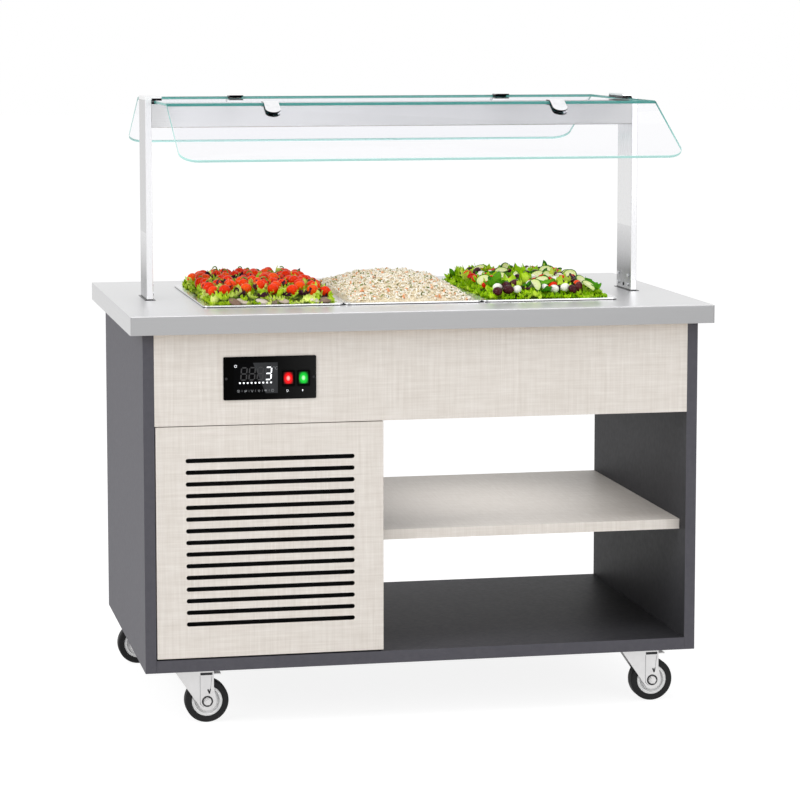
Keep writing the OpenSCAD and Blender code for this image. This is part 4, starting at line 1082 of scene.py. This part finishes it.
curve = bpy.data.curves.new("degrees", "FONT")
curve.body = "°C"
curve.size = SIGN_HIGH
text = bpy.data.objects.new("degrees", curve)
bpy.context.scene.collection.objects.link(text)
bpy.context.view_layer.update()
flat = bpy.data.meshes.new_from_object(text.evaluated_get(bpy.context.evaluated_depsgraph_get()))
bpy.data.objects.remove(text)
bm = bmesh.new()
bm.from_mesh(flat)
bmesh.ops.remove_doubles(bm, verts=bm.verts, dist=TOUCH)
raised(bm, bm.faces[:])
on_front(bm, bm.verts[:], SIGN_X, SIGN_Z, glass_y, FIGURE_SLANT)
piece(bm, "display_degrees", "base", symbol_grey)

# %% [markdown]
# ## How a heap of salad is built
# A heap of food is a smooth mound with many small things lying on it. The mound is a grid that is pushed up
# by a height function and closed underneath, so nothing shows through between the pieces. Its underside is
# narrower than its top, because the pan's walls lean inwards. The same height function tells where each
# leaf, tomato or grain has to lie.

# %% The mound
PAN_X = {"left": -0.325, "middle": 0.0, "right": 0.325}
RIM_Z = 0.949
MOUTH_X, MOUTH_Y, MOUTH_R = 0.1455, 0.248, 0.030
PLATEAU = 6
SHOULDER = 0.7
LUMPS_PER_METRE = 26
LUMP_HIGH = 0.007
BED_DEEP = 0.060
BED_TAPER = (0.92, 0.955)
BED_INSET = 0.004


def rounded_in(x, y):
    """Moves a point that is beyond the pan's rounded corner onto it"""
    dx = max(0.0, abs(x) - (MOUTH_X - MOUTH_R))
    dy = max(0.0, abs(y) - (MOUTH_Y - MOUTH_R))
    reach = math.hypot(dx, dy)
    if reach > MOUTH_R:
        x = math.copysign(MOUTH_X - MOUTH_R + dx * MOUTH_R / reach, x)
        y = math.copysign(MOUTH_Y - MOUTH_R + dy * MOUTH_R / reach, y)
    return x, y


def heap(x, y, rise, edge, seed, flat=PLATEAU):
    """Height over the rim: edge at the pan's border and rise in the middle. A high flat makes it a plateau"""
    across = max(0.0, 1 - (abs(x) / MOUTH_X) ** flat)
    along = max(0.0, 1 - (abs(y) / MOUTH_Y) ** flat)
    bump = noise.noise(Vector((x * LUMPS_PER_METRE, y * LUMPS_PER_METRE, seed)))
    full = (across * along) ** SHOULDER
    return edge + (rise - edge) * full + LUMP_HIGH * bump * min(1, 2 * full)


def heap_of(rise, edge, seed, flat=PLATEAU):
    """The height of a heap's surface over the floor, as a function of the place in the pan"""
    return lambda x, y: RIM_Z + heap(x, y, rise, edge, seed, flat)


def mound(name, which, mat, height, inset=0.0):
    bm = bmesh.new()
    bmesh.ops.create_grid(bm, x_segments=36, y_segments=60, size=1.0)
    for vert in bm.verts:
        x, y = rounded_in(vert.co.x * MOUTH_X, vert.co.y * MOUTH_Y)
        vert.co = (x * (1 - inset / MOUTH_X), y * (1 - inset / MOUTH_Y), height(x, y))
    for vert in new_verts(bmesh.ops.extrude_face_region(bm, geom=bm.faces[:])):
        vert.co.x *= BED_TAPER[0]
        vert.co.y *= BED_TAPER[1]
        vert.co.z = RIM_Z - BED_DEEP
    bmesh.ops.translate(bm, vec=(PAN_X[which], 0, 0), verts=bm.verts)
    piece(bm, name, "pan_" + which, mat)


print("rim at", RIM_Z)

# %% [markdown]
# Food is scattered and tumbled by chance, but from a seed, so that every run gives the same salad.

# %% Scattering and tumbling
ANY_TURN = 6.3


def scattered(rng, tries, gap, half_x, half_y, wanted=None):
    """Random places at least gap apart"""
    places = []
    for _ in range(tries):
        x, y = rng.uniform(-half_x, half_x), rng.uniform(-half_y, half_y)
        if wanted and not wanted(x, y):
            continue
        if all((x - px) ** 2 + (y - py) ** 2 > gap * gap for px, py in places):
            places.append((x, y))
    return places


def tumbled(rng, lean=1.0):
    """A random turn: fully free at lean 1, nearly upright at lean 0"""
    tilt = Matrix.Rotation(rng.uniform(-1, 1) * math.pi * lean, 4, "X")
    facing = Matrix.Rotation(rng.uniform(0, 2 * math.pi), 4, "Z")
    return facing @ tilt @ Matrix.Rotation(rng.uniform(0, ANY_TURN), 4, "Z")


print("chance ready")

# %% [markdown]
# ## Shapes of food
# Each kind of food is one small shape that is drawn many times into the same mesh: a ball for tomatoes,
# olives and mozzarella, a ruffled sheet for leaves, a disc for cucumber. Every copy writes a number into
# an attribute of its own vertices, and the finish reads it, so that no two copies have quite the same
# colour.

# %% Balls and leaves
LEAF_STEM = 0.08
LEAF_WAVES = 3.0
LEAF_LOBES = 17
LEAF_THICK = 0.0006


def ball(bm, tint, place, size, value, fineness=3):
    made = bmesh.ops.create_icosphere(bm, subdivisions=fineness, radius=0.5)["verts"]
    bmesh.ops.transform(bm, matrix=place @ Matrix.Diagonal((*size, 1)), verts=made)
    for vert in made:
        vert[tint] = value


def leaf(bm, tint, place, long, wide, ruffle, value, rng):
    """A curled sheet with a lobed outline, ruffled along its border and paler down its middle"""
    made = bmesh.ops.create_grid(bm, x_segments=9, y_segments=6, size=0.5)["verts"]
    phase = rng.uniform(0, ANY_TURN)
    curl = rng.uniform(0.2, 0.9)
    for vert in made:
        t, s = vert.co.x + 0.5, 2 * vert.co.y
        belly = math.sin(math.pi * min(1, LEAF_STEM + (1 - LEAF_STEM) * t)) ** 0.55
        outline = belly * (1 + 0.14 * math.sin(LEAF_LOBES * t + phase))
        lift = curl * long * (t - 0.4) ** 2 + 0.35 * wide * s * s * (0.4 + curl)
        swing = math.sin(2 * math.pi * LEAF_WAVES * t + phase + 1.5 * math.copysign(1, s))
        vert.co = (long * (t - 0.5), wide / 2 * s * outline, lift + ruffle * s * s * swing)
        vert[tint] = value + 0.25 * (1 - abs(s))
    bmesh.ops.transform(bm, matrix=place, verts=made)
    bmesh.ops.solidify(bm, geom=faces_on(made), thickness=LEAF_THICK)


def food(name, which, mat, draw, smooth=50):
    """Draws a kind of food into one mesh, with the tint attribute ready"""
    bm = bmesh.new()
    tint = bm.verts.layers.float.new("tint")
    draw(bm, tint)
    bmesh.ops.translate(bm, vec=(PAN_X[which], 0, 0), verts=bm.verts)
    piece(bm, name, "pan_" + which, mat, smooth=smooth)


print("food shapes ready")

# %% [markdown]
# ## Finishes of food
# A finish of food runs through a few colours, from a shaded one to a pale one. The tint attribute says
# where on the run a copy lies, and a fine speckle moves it a little, so that skins and leaves aren't even.
# Wet skins have a thin coat of gloss.

# %% Finishes of leaves, fruit and roots
def tinted(name, stops, rough=0.4, speckle=(400, 400, 400), depth=0.0002, shine=0.08, **sockets):
    """Finish whose colour follows the tint attribute, with a little speckle"""
    mat = finish(name, stops[0][1], rough=rough, Specular_IOR_Level=shine, **sockets)
    own = add_node(mat, "Attribute")
    own.attribute_name = "tint"
    fine = grain(mat, speckle, 3.0)
    speckled = sums(mat, "MULTIPLY", sums(mat, "SUBTRACT", fine, 0.5), 0.35)
    colour_by(mat, sums(mat, "ADD", own.outputs["Fac"], speckled), *stops)
    roughen(mat, fine, rough - 0.08, rough + 0.1)
    return relief(mat, fine, depth, 0.6)


tomato_skin = tinted("tomato_skin", [(0.0, (212, 34, 0)), (0.6, (238, 56, 2)), (1.0, (250, 98, 12))],
                     rough=0.16, speckle=(60, 60, 60), depth=0.0001, shine=0.04,
                     Coat_Weight=0.12, Coat_Roughness=0.04)
lettuce = tinted("lettuce", [(0.0, (100, 158, 2)), (0.5, (170, 218, 10)), (1.0, (226, 246, 96))], 0.42)
spinach = tinted("spinach", [(0.0, (30, 88, 4)), (0.5, (64, 140, 14)), (1.0, (126, 190, 40))], 0.34)
frisee = tinted("frisee", [(0.0, (110, 160, 8)), (0.5, (184, 218, 40)), (1.0, (238, 246, 150))], 0.45)
red_leaf = tinted("red_leaf", [(0.0, (40, 16, 34)), (0.5, (74, 30, 56)), (1.0, (124, 66, 96))], 0.35)
mushroom = tinted("mushroom", [(0.0, (126, 100, 84)), (0.4, (196, 180, 164)), (1.0, (246, 242, 232))], 0.5)
mozzarella = tinted("mozzarella", [(0.0, (222, 222, 200)), (0.5, (245, 244, 232)), (1.0, (253, 252, 248))],
                    rough=0.35, speckle=(300, 300, 300))
olive_skin = tinted("olive_skin", [(0.0, (40, 10, 16)), (0.6, (76, 22, 30)), (1.0, (120, 50, 48))],
                    rough=0.2, speckle=(90, 90, 90), depth=0.0001, shine=0.1, Coat_Weight=0.1)
pepper_red = tinted("pepper_red", [(0.0, (180, 10, 0)), (0.6, (222, 30, 0)), (1.0, (244, 76, 16))],
                    rough=0.2, speckle=(120, 120, 120), depth=0.0001, shine=0.04, Coat_Weight=0.08)
cucumber = tinted("cucumber", [(0.0, (240, 242, 196)), (0.5, (214, 230, 140)), (0.7, (70, 122, 34)),
                               (1.0, (30, 72, 18))], 0.3)
stem_green = tinted("stem_green", [(0.0, (76, 118, 40)), (1.0, (150, 182, 90))], 0.45)
rice_grain = tinted("rice_grain", [(0.0, (232, 212, 172)), (0.3, (246, 236, 212)), (0.8, (253, 249, 236)),
                                   (1.0, (255, 253, 246))], 0.4, speckle=(500, 500, 500), depth=0.00005)
carrot = tinted("carrot", [(0.0, (236, 156, 104)), (0.6, (244, 188, 144)), (1.0, (250, 214, 180))], 0.4)
herb = tinted("herb", [(0.0, (84, 104, 44)), (0.6, (132, 146, 70)), (1.0, (180, 184, 110))], 0.45)
print("fourteen finishes of food")

# %% [markdown]
# The beds under the food only show in gaps. Coarse noise gives them the colours of what lies on them.

# %% Finishes of the beds
bed_green = finish("bed_green", (62, 84, 34), rough=0.6)
colour_by(bed_green, grain(bed_green, (110, 110, 110), 4.0), (0.32, (50, 66, 18)), (0.48, (112, 156, 30)),
          (0.62, (176, 204, 76)), (0.75, (70, 32, 52)))
relief(bed_green, grain(bed_green, (150, 150, 150), 3.0), 0.003)
bed_rice = finish("bed_rice", (242, 232, 206), rough=0.6)
colour_by(bed_rice, grain(bed_rice, (260, 260, 260), 4.0), (0.3, (214, 194, 154)), (0.7, (250, 242, 220)))
relief(bed_rice, grain(bed_rice, (260, 260, 260), 3.0), 0.002)
print("two beds")

# %% [markdown]
# ## The tomato salad
# The left pan holds a salad of frisee, dark lollo leaves and mushrooms, covered with cherry tomatoes. The
# tomatoes are scattered with a smallest distance, so that they lie side by side with leaves between them.
# The bed lies a little under the surface on which the food is placed.

# %% The bed and the tomatoes
LEFT_SHAPE = {"rise": 0.023, "edge": -0.004, "seed": 3.0}
BED_DROP, BED_EDGE_DROP = 0.010, 0.008
TOMATO_SINK = 0.45


def green_bed(name, which, shape):
    low = heap_of(shape["rise"] - BED_DROP, shape["edge"] - BED_EDGE_DROP, shape["seed"])
    mound(name, which, bed_green, low, BED_INSET)


green_bed("tomato_salad_bed", "left", LEFT_SHAPE)
on_left = heap_of(**LEFT_SHAPE)
rng = random.Random(11)
tomato_places = scattered(rng, 3000, 0.0330, 0.131, 0.228, lambda x, y: y > -0.220)


def draw_tomatoes(bm, tint):
    for x, y in tomato_places:
        size = rng.uniform(0.0250, 0.0280)
        place = Matrix.Translation((x, y, on_left(x, y) + TOMATO_SINK * size)) @ tumbled(rng)
        ball(bm, tint, place, (size, size, size * rng.uniform(1.0, 1.14)), rng.uniform(0.2, 0.8))


food("tomatoes", "left", tomato_skin, draw_tomatoes)
print(len(tomato_places), "tomatoes")

# %% [markdown]
# Every fourth tomato has its green stalk. A stalk is a small ring of seven corners that is spun part of the
# way round, which gives a curl. Its vertices are known by their tint, which is still 0.

# %% Stalks of the tomatoes
STALK_THICK = 0.0014
TOMATO_TOP = 0.023


def draw_stalks(bm, tint):
    for x, y in tomato_places[::4]:
        bend = rng.uniform(0.005, 0.008)
        ring = bmesh.ops.create_circle(bm, cap_ends=True, segments=7, radius=STALK_THICK)["verts"]
        bmesh.ops.translate(bm, vec=(bend, 0, 0), verts=ring)
        bmesh.ops.spin(bm, geom=[ring[0].link_faces[0]], cent=(0, 0, 0), axis=(0, 1, 0),
                       angle=math.radians(rng.uniform(150, 270)), steps=12, use_merge=False,
                       use_duplicate=False)
        made = [v for v in bm.verts if v[tint] == 0.0]
        top = Matrix.Translation((x, y, on_left(x, y) + TOMATO_TOP))
        facing = Matrix.Rotation(rng.uniform(-0.6, 0.6), 4, "Z")
        curl = Matrix.Rotation(rng.uniform(2.2, 4.0), 4, "Y")
        bmesh.ops.transform(bm, matrix=top @ facing @ curl, verts=made)
        for vert in made:
            vert[tint] = rng.uniform(0.2, 0.9)


food("tomato_stalks", "left", stem_green, draw_stalks)

# %% [markdown]
# Leaves are drawn by one function for all the salads. It takes places at least a gap apart, and gives each
# leaf its own size, lean and tint. A fringe of small leaves lies along the rim of the pan, lower than the
# rest, so that the heap looks full right up to the steel.

# %% Leaves between the tomatoes
FRINGE_X, FRINGE_Y = 0.131, 0.234
FRINGE_DEPTH = 0.002


def along_rim(rng):
    """Places all along the border of a pan"""
    return scattered(rng, 2500, 0.0115, 0.139, 0.243, lambda x, y: abs(x) > FRINGE_X or abs(y) > FRINGE_Y)


def at_rim(x, y):
    return RIM_Z - FRINGE_DEPTH


def leaves(places, height, long, wide, ruffle, tints, raise_by=0.0, lean=0.22):
    def draw(bm, tint):
        for x, y in places:
            place = Matrix.Translation((x, y, height(x, y) + raise_by)) @ tumbled(rng, lean)
            size = rng.uniform(0.75, 1.2)
            leaf(bm, tint, place, long * size, wide * size, ruffle, rng.uniform(*tints), rng)

    return draw


food("tomato_salad_frisee", "left", frisee,
     leaves(scattered(rng, 1400, 0.0140, 0.136, 0.241), on_left, long=0.026, wide=0.018, ruffle=0.0045,
            tints=(0.2, 0.8), raise_by=0.003, lean=0.40))
food("tomato_salad_fringe", "left", frisee,
     leaves(along_rim(rng), at_rim, long=0.024, wide=0.016, ruffle=0.0040, tints=(0.2, 0.8), lean=0.3))
food("tomato_salad_lollo", "left", red_leaf,
     leaves(scattered(rng, 300, 0.0330, 0.124, 0.228), on_left, long=0.034, wide=0.022, ruffle=0.0045,
            tints=(0.0, 0.6), raise_by=0.004, lean=0.35))

# %% [markdown]
# Slices of mushroom lie in a row along the front rim. Each is a flat ball that leans towards the guest.

# %% Mushrooms
MUSHROOM_SIZE = (0.030, 0.017, 0.009)
MUSHROOM_RAISE = 0.006


def draw_mushrooms(bm, tint):
    front = scattered(rng, 800, 0.019, 0.134, 0.247, lambda x, y: y < -0.236)
    for x, y in front:
        lean = Matrix.Rotation(math.radians(rng.uniform(20, 60)), 4, "X")
        spin = Matrix.Rotation(rng.uniform(-0.7, 0.7), 4, "Z")
        place = Matrix.Translation((x, y, RIM_Z + MUSHROOM_RAISE)) @ lean @ spin
        ball(bm, tint, place, MUSHROOM_SIZE, rng.uniform(0.0, 1.0))


food("tomato_salad_mushrooms", "left", mushroom, draw_mushrooms)

# %% [markdown]
# ## The rice salad
# The middle pan is heaped with rice, with crumbs of carrot and chopped herbs in it. A mound alone looks
# like sand, so a few thousand grains lie on it. Each is a ball of only twenty faces that is pulled long,
# because so many fine ones would make the piece too heavy.

# %% The rice salad
RICE_RISE, RICE_EDGE, RICE_SEED, RICE_FLAT = 0.046, 0.0, 8.0, 2.2
RICE_DROP = 0.002
RICE_X, RICE_Y = 0.141, 0.243

mound("rice_salad_bed", "middle", bed_rice,
      heap_of(RICE_RISE - RICE_DROP, RICE_EDGE - RICE_DROP, RICE_SEED, RICE_FLAT))
on_rice = heap_of(RICE_RISE, RICE_EDGE, RICE_SEED, RICE_FLAT)


def grains(count, size, low, lean, raise_by=0.0):
    def draw(bm, tint):
        for _ in range(count):
            x, y = rounded_in(rng.uniform(-RICE_X, RICE_X), rng.uniform(-RICE_Y, RICE_Y))
            place = Matrix.Translation((x, y, on_rice(x, y) + raise_by + rng.uniform(-0.001, 0.0022)))
            scale = rng.uniform(0.8, 1.3)
            turned = place @ tumbled(rng, lean)
            ball(bm, tint, turned, tuple(scale * v for v in size), rng.uniform(low, 1.0), fineness=1)

    return draw


rng = random.Random(23)
food("rice_grains", "middle", rice_grain, grains(3400, (0.0100, 0.0044, 0.0040), 0.1, lean=0.5))
food("rice_carrot", "middle", carrot, grains(190, (0.0085, 0.0056, 0.0045), 0.0, lean=0.5, raise_by=0.001))
food("rice_herbs", "middle", herb, grains(270, (0.0095, 0.0030, 0.0022), 0.0, lean=0.4, raise_by=0.0015))

# %% [markdown]
# ## The mixed salad
# The right pan has lettuce with spinach, cucumber, olives, pepper and mozzarella. One set of places is
# scattered over the heap and dealt out among the kinds, so that no two of them lie in the same place and
# the colours are mixed evenly. The numbers say how often each kind is dealt.

# %% Places in the mixed salad
RIGHT_SHAPE = {"rise": 0.011, "edge": -0.006, "seed": 15.0}
KINDS = {"lettuce": 21, "spinach": 14, "mozzarella": 13, "cucumber": 13, "olive": 18, "pepper": 19}

green_bed("mixed_salad_bed", "right", RIGHT_SHAPE)
on_right = heap_of(**RIGHT_SHAPE)
rng = random.Random(37)
dealt = {kind: [] for kind in KINDS}
for spot in scattered(rng, 5000, 0.0215, 0.122, 0.234):
    dealt[rng.choices(list(KINDS), list(KINDS.values()))[0]].append(spot)
print({kind: len(spots) for kind, spots in dealt.items()})

# %% [markdown]
# The leaves come first: a layer of small ones all over, so that no bare bed shows, a fringe at the rim, and
# then the large bright ones that make the ragged outline of the heap.

# %% Leaves of the mixed salad
food("mixed_salad_underlay", "right", lettuce,
     leaves(scattered(rng, 1200, 0.0150, 0.130, 0.241), on_right, long=0.026, wide=0.020, ruffle=0.0045,
            tints=(0.1, 0.7), raise_by=0.001, lean=0.20))
food("mixed_salad_fringe", "right", lettuce,
     leaves(along_rim(rng), at_rim, long=0.024, wide=0.018, ruffle=0.0040, tints=(0.1, 0.7), lean=0.3))
food("mixed_salad_lettuce", "right", lettuce,
     leaves(dealt["lettuce"], on_right, long=0.040, wide=0.032, ruffle=0.0070, tints=(0.3, 0.9),
            raise_by=0.010, lean=0.25))
food("mixed_salad_spinach", "right", spinach,
     leaves(dealt["spinach"], on_right, long=0.044, wide=0.030, ruffle=0.0020, tints=(0.1, 0.8),
            raise_by=0.012, lean=0.18))
food("mixed_salad_radicchio", "right", red_leaf,
     leaves(scattered(rng, 120, 0.048, 0.116, 0.222), on_right, long=0.034, wide=0.012, ruffle=0.0020,
            tints=(0.1, 0.8), raise_by=0.014, lean=0.20))

# %% [markdown]
# Mozzarella and olives are balls that are drawn by one function too.

# %% Mozzarella and olives
def balls_on(spots, sizes, low, high, raise_by, lean=1.0):
    def draw(bm, tint):
        for x, y in spots:
            place = Matrix.Translation((x, y, on_right(x, y) + raise_by)) @ tumbled(rng, lean)
            scale = rng.uniform(0.88, 1.12)
            ball(bm, tint, place, tuple(scale * v for v in sizes), rng.uniform(low, high))

    return draw


food("mixed_salad_mozzarella", "right", mozzarella,
     balls_on(dealt["mozzarella"], (0.023, 0.023, 0.020), 0.3, 1.0, raise_by=0.016, lean=0.2))
food("mixed_salad_olives", "right", olive_skin,
     balls_on(dealt["olive"], (0.025, 0.020, 0.019), 0.1, 0.8, raise_by=0.018))

# %% [markdown]
# A slice of cucumber starts as a disc. Two insets give it a ring of rind and a paler core, an extrusion
# gives it its thickness, and a plane cuts about half of the discs in two. The slices lean towards the guest.

# %% Cucumber
SLICE_R = 0.0185
SLICE_THICK = 0.0045
SLICE_RAISE = 0.019
RIND = 0.0030
CORE_INSET = 0.008
HALVED = 0.55


def unplaced(bm):
    """The vertices that are still near the origin, where every shape is drawn"""
    return [v for v in bm.verts if v.co.z < RIM_Z / 2]


def slice_of_cucumber(bm, tint):
    made = bmesh.ops.create_circle(bm, cap_ends=True, segments=28, radius=SLICE_R)["verts"]
    face = made[0].link_faces[0]
    for inset in (RIND, CORE_INSET):
        bmesh.ops.inset_region(bm, faces=[face], use_boundary=True, thickness=inset, depth=0)
    flat = unplaced(bm)
    for vert in flat:
        depth = SLICE_R - vert.co.length
        vert[tint] = 1.0 if depth < RIND / 2 else 0.45 if depth < RIND + CORE_INSET / 2 else 0.1
    lifted = new_verts(bmesh.ops.extrude_face_region(bm, geom=faces_on(flat)))
    bmesh.ops.translate(bm, vec=(0, 0, SLICE_THICK), verts=lifted)


def halve(bm, normal):
    """Cuts the unplaced shape in two, throws away the half that normal looks to, and closes the cut"""
    verts = unplaced(bm)
    geom = verts + list({e for v in verts for e in v.link_edges}) + faces_on(verts)
    cut = bmesh.ops.bisect_plane(bm, geom=geom, plane_co=(0, 0, 0), plane_no=normal, clear_outer=True)
    rim = [g for g in cut["geom_cut"] if isinstance(g, bmesh.types.BMEdge)]
    bmesh.ops.holes_fill(bm, edges=rim, sides=0)


def draw_cucumber(bm, tint):
    for x, y in dealt["cucumber"]:
        slice_of_cucumber(bm, tint)
        if rng.random() < HALVED:
            halve(bm, (1, 0, 0))
        lean = Matrix.Rotation(math.radians(rng.uniform(20, 70)), 4, "X")
        turn = Matrix.Rotation(rng.uniform(-0.7, 0.7), 4, "Z")
        spin = Matrix.Rotation(rng.uniform(0, ANY_TURN), 4, "Z")
        place = Matrix.Translation((x, y, on_right(x, y) + SLICE_RAISE)) @ turn @ lean @ spin
        bmesh.ops.transform(bm, matrix=place, verts=unplaced(bm))


food("mixed_salad_cucumber", "right", cucumber, draw_cucumber, smooth=30)

# %% [markdown]
# A piece of pepper is half a ball, pulled long. The same cut makes it as halves the cucumber.

# %% Pepper
PEPPER_SIZE = (0.027, 0.019, 0.022)
PEPPER_RAISE = 0.016


def draw_pepper(bm, tint):
    for x, y in dealt["pepper"]:
        ball(bm, tint, Matrix.Identity(4), PEPPER_SIZE, rng.uniform(0.2, 0.9))
        halve(bm, (0, 0, -1))
        place = Matrix.Translation((x, y, on_right(x, y) + PEPPER_RAISE)) @ tumbled(rng, 0.3)
        bmesh.ops.transform(bm, matrix=place, verts=unplaced(bm))


food("mixed_salad_pepper", "right", pepper_red, draw_pepper)

# %% [markdown]
# ## White paper
# A catalogue picture stands on white paper. The camera, and what is seen in mirrors and through glass, gets
# a paper that glows a little by itself, so that it is white right up to the horizon and the cart's shadow
# stays on it as a soft grey. To all other light it is plain white paper.

# %% White paper
PAPER_GLOW = 0.87
PAPER_HALF = 40

scene = bpy.context.scene
scene.view_settings.view_transform = "Standard"


def seen_directly(mat):
    """1 for what the camera sees, by itself, in a mirror or through glass"""
    path = add_node(mat, "LightPath")
    mirrored = sums(mat, "MAXIMUM", path.outputs["Is Glossy Ray"], path.outputs["Is Transmission Ray"])
    return sums(mat, "MAXIMUM", path.outputs["Is Camera Ray"], mirrored)


floor_paper = finish("floor_paper", (247, 247, 247), rough=0.9)
colour_by(floor_paper, grain(floor_paper, (3, 3, 3), 2.0), (0.3, (246, 246, 246)), (0.7, (249, 249, 249)))
shaded = add_node(floor_paper, "BsdfDiffuse", Color=linear(152, 152, 152))
glow = add_node(floor_paper, "Emission", Color=(1, 1, 1, 1), Strength=PAPER_GLOW)
glowing = add_node(floor_paper, "AddShader")
wire(floor_paper, shaded.outputs[0], glowing.inputs[0])
wire(floor_paper, glow.outputs[0], glowing.inputs[1])
mixed_shaders(floor_paper, seen_directly(floor_paper), shader_of(floor_paper).outputs[0], glowing.outputs[0])

bm = bmesh.new()
bmesh.ops.create_grid(bm, x_segments=1, y_segments=1, size=PAPER_HALF)
floor_mesh = bpy.data.meshes.new("floor")
bm.to_mesh(floor_mesh)
bm.free()
floor_mesh.materials.append(floor_paper)
floor = bpy.data.objects.new("floor", floor_mesh)
scene.collection.objects.link(floor)
floor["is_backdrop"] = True
print("paper", 2 * PAPER_HALF, "m wide")

# %% [markdown]
# ## A white room
# The world is white to the camera, in mirrors and behind glass, but it lights the cart with less, so that
# white things keep their shading.

# %% White room
SOFT_LEVEL = 0.50
WHITE = (1, 1, 1, 1)

world = bpy.data.worlds.new("studio")
scene.world = world
world.use_nodes = True
world.node_tree.nodes.clear()
lighting = add_node(world, "Background", Color=WHITE, Strength=SOFT_LEVEL)
room = add_node(world, "Background", Color=WHITE)
blend = add_node(world, "MixShader")
for source, socket in zip((seen_directly(world), lighting.outputs[0], room.outputs[0]), blend.inputs):
    wire(world, source, socket)
wire(world, blend.outputs[0], add_node(world, "OutputWorld").inputs["Surface"])
print("room lights the cart with", SOFT_LEVEL)

# %% [markdown]
# ## Soft lamps
# One large lamp from the left makes the sides of the cart differ, a weaker one fills the front, and one
# over the worktop brings out the food. A small one hides under the deck, as a photographer would hide it,
# so that the shelf isn't a dark hole.

# %% Soft lamps
CART_MIDDLE = (0, 0, 0.7)
WORKTOP_MIDDLE = (0, 0, 0.9)
BAY_MIDDLE = (0.25, 0, 0.4)


def softbox(name, place, aim, size, watts):
    lamp = bpy.data.lights.new(name, "AREA")
    lamp.shape = "RECTANGLE"
    lamp.size, lamp.size_y = size
    lamp.energy = watts
    obj = bpy.data.objects.new(name, lamp)
    obj.location = place
    obj.rotation_euler = (Vector(aim) - Vector(place)).to_track_quat("-Z", "Y").to_euler()
    scene.collection.objects.link(obj)


softbox("key", (-5.0, -2.2, 3.6), CART_MIDDLE, (3.0, 3.0), watts=150)
softbox("fill", (2.5, -5.5, 2.6), CART_MIDDLE, (4.0, 3.0), watts=70)
softbox("top", (0.3, -0.8, 4.2), WORKTOP_MIDDLE, (3.0, 3.0), watts=50)
softbox("under_deck", (0.25, 0, 0.685), BAY_MIDDLE, (0.5, 0.5), watts=1.1)
print("four lamps")

# %% [markdown]
# ## The size, and the end
# Both boxes, of the solids and of the dressed cart, are printed. The dressed cart has to stay in the box
# of its solids.

# %% Print the two boxes
final_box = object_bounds()
solid_size, dressed_size = ([round(b - a, 4) for a, b in zip(*box)] for box in (cad_box, final_box))
print("solids", solid_size, "dressed", dressed_size)
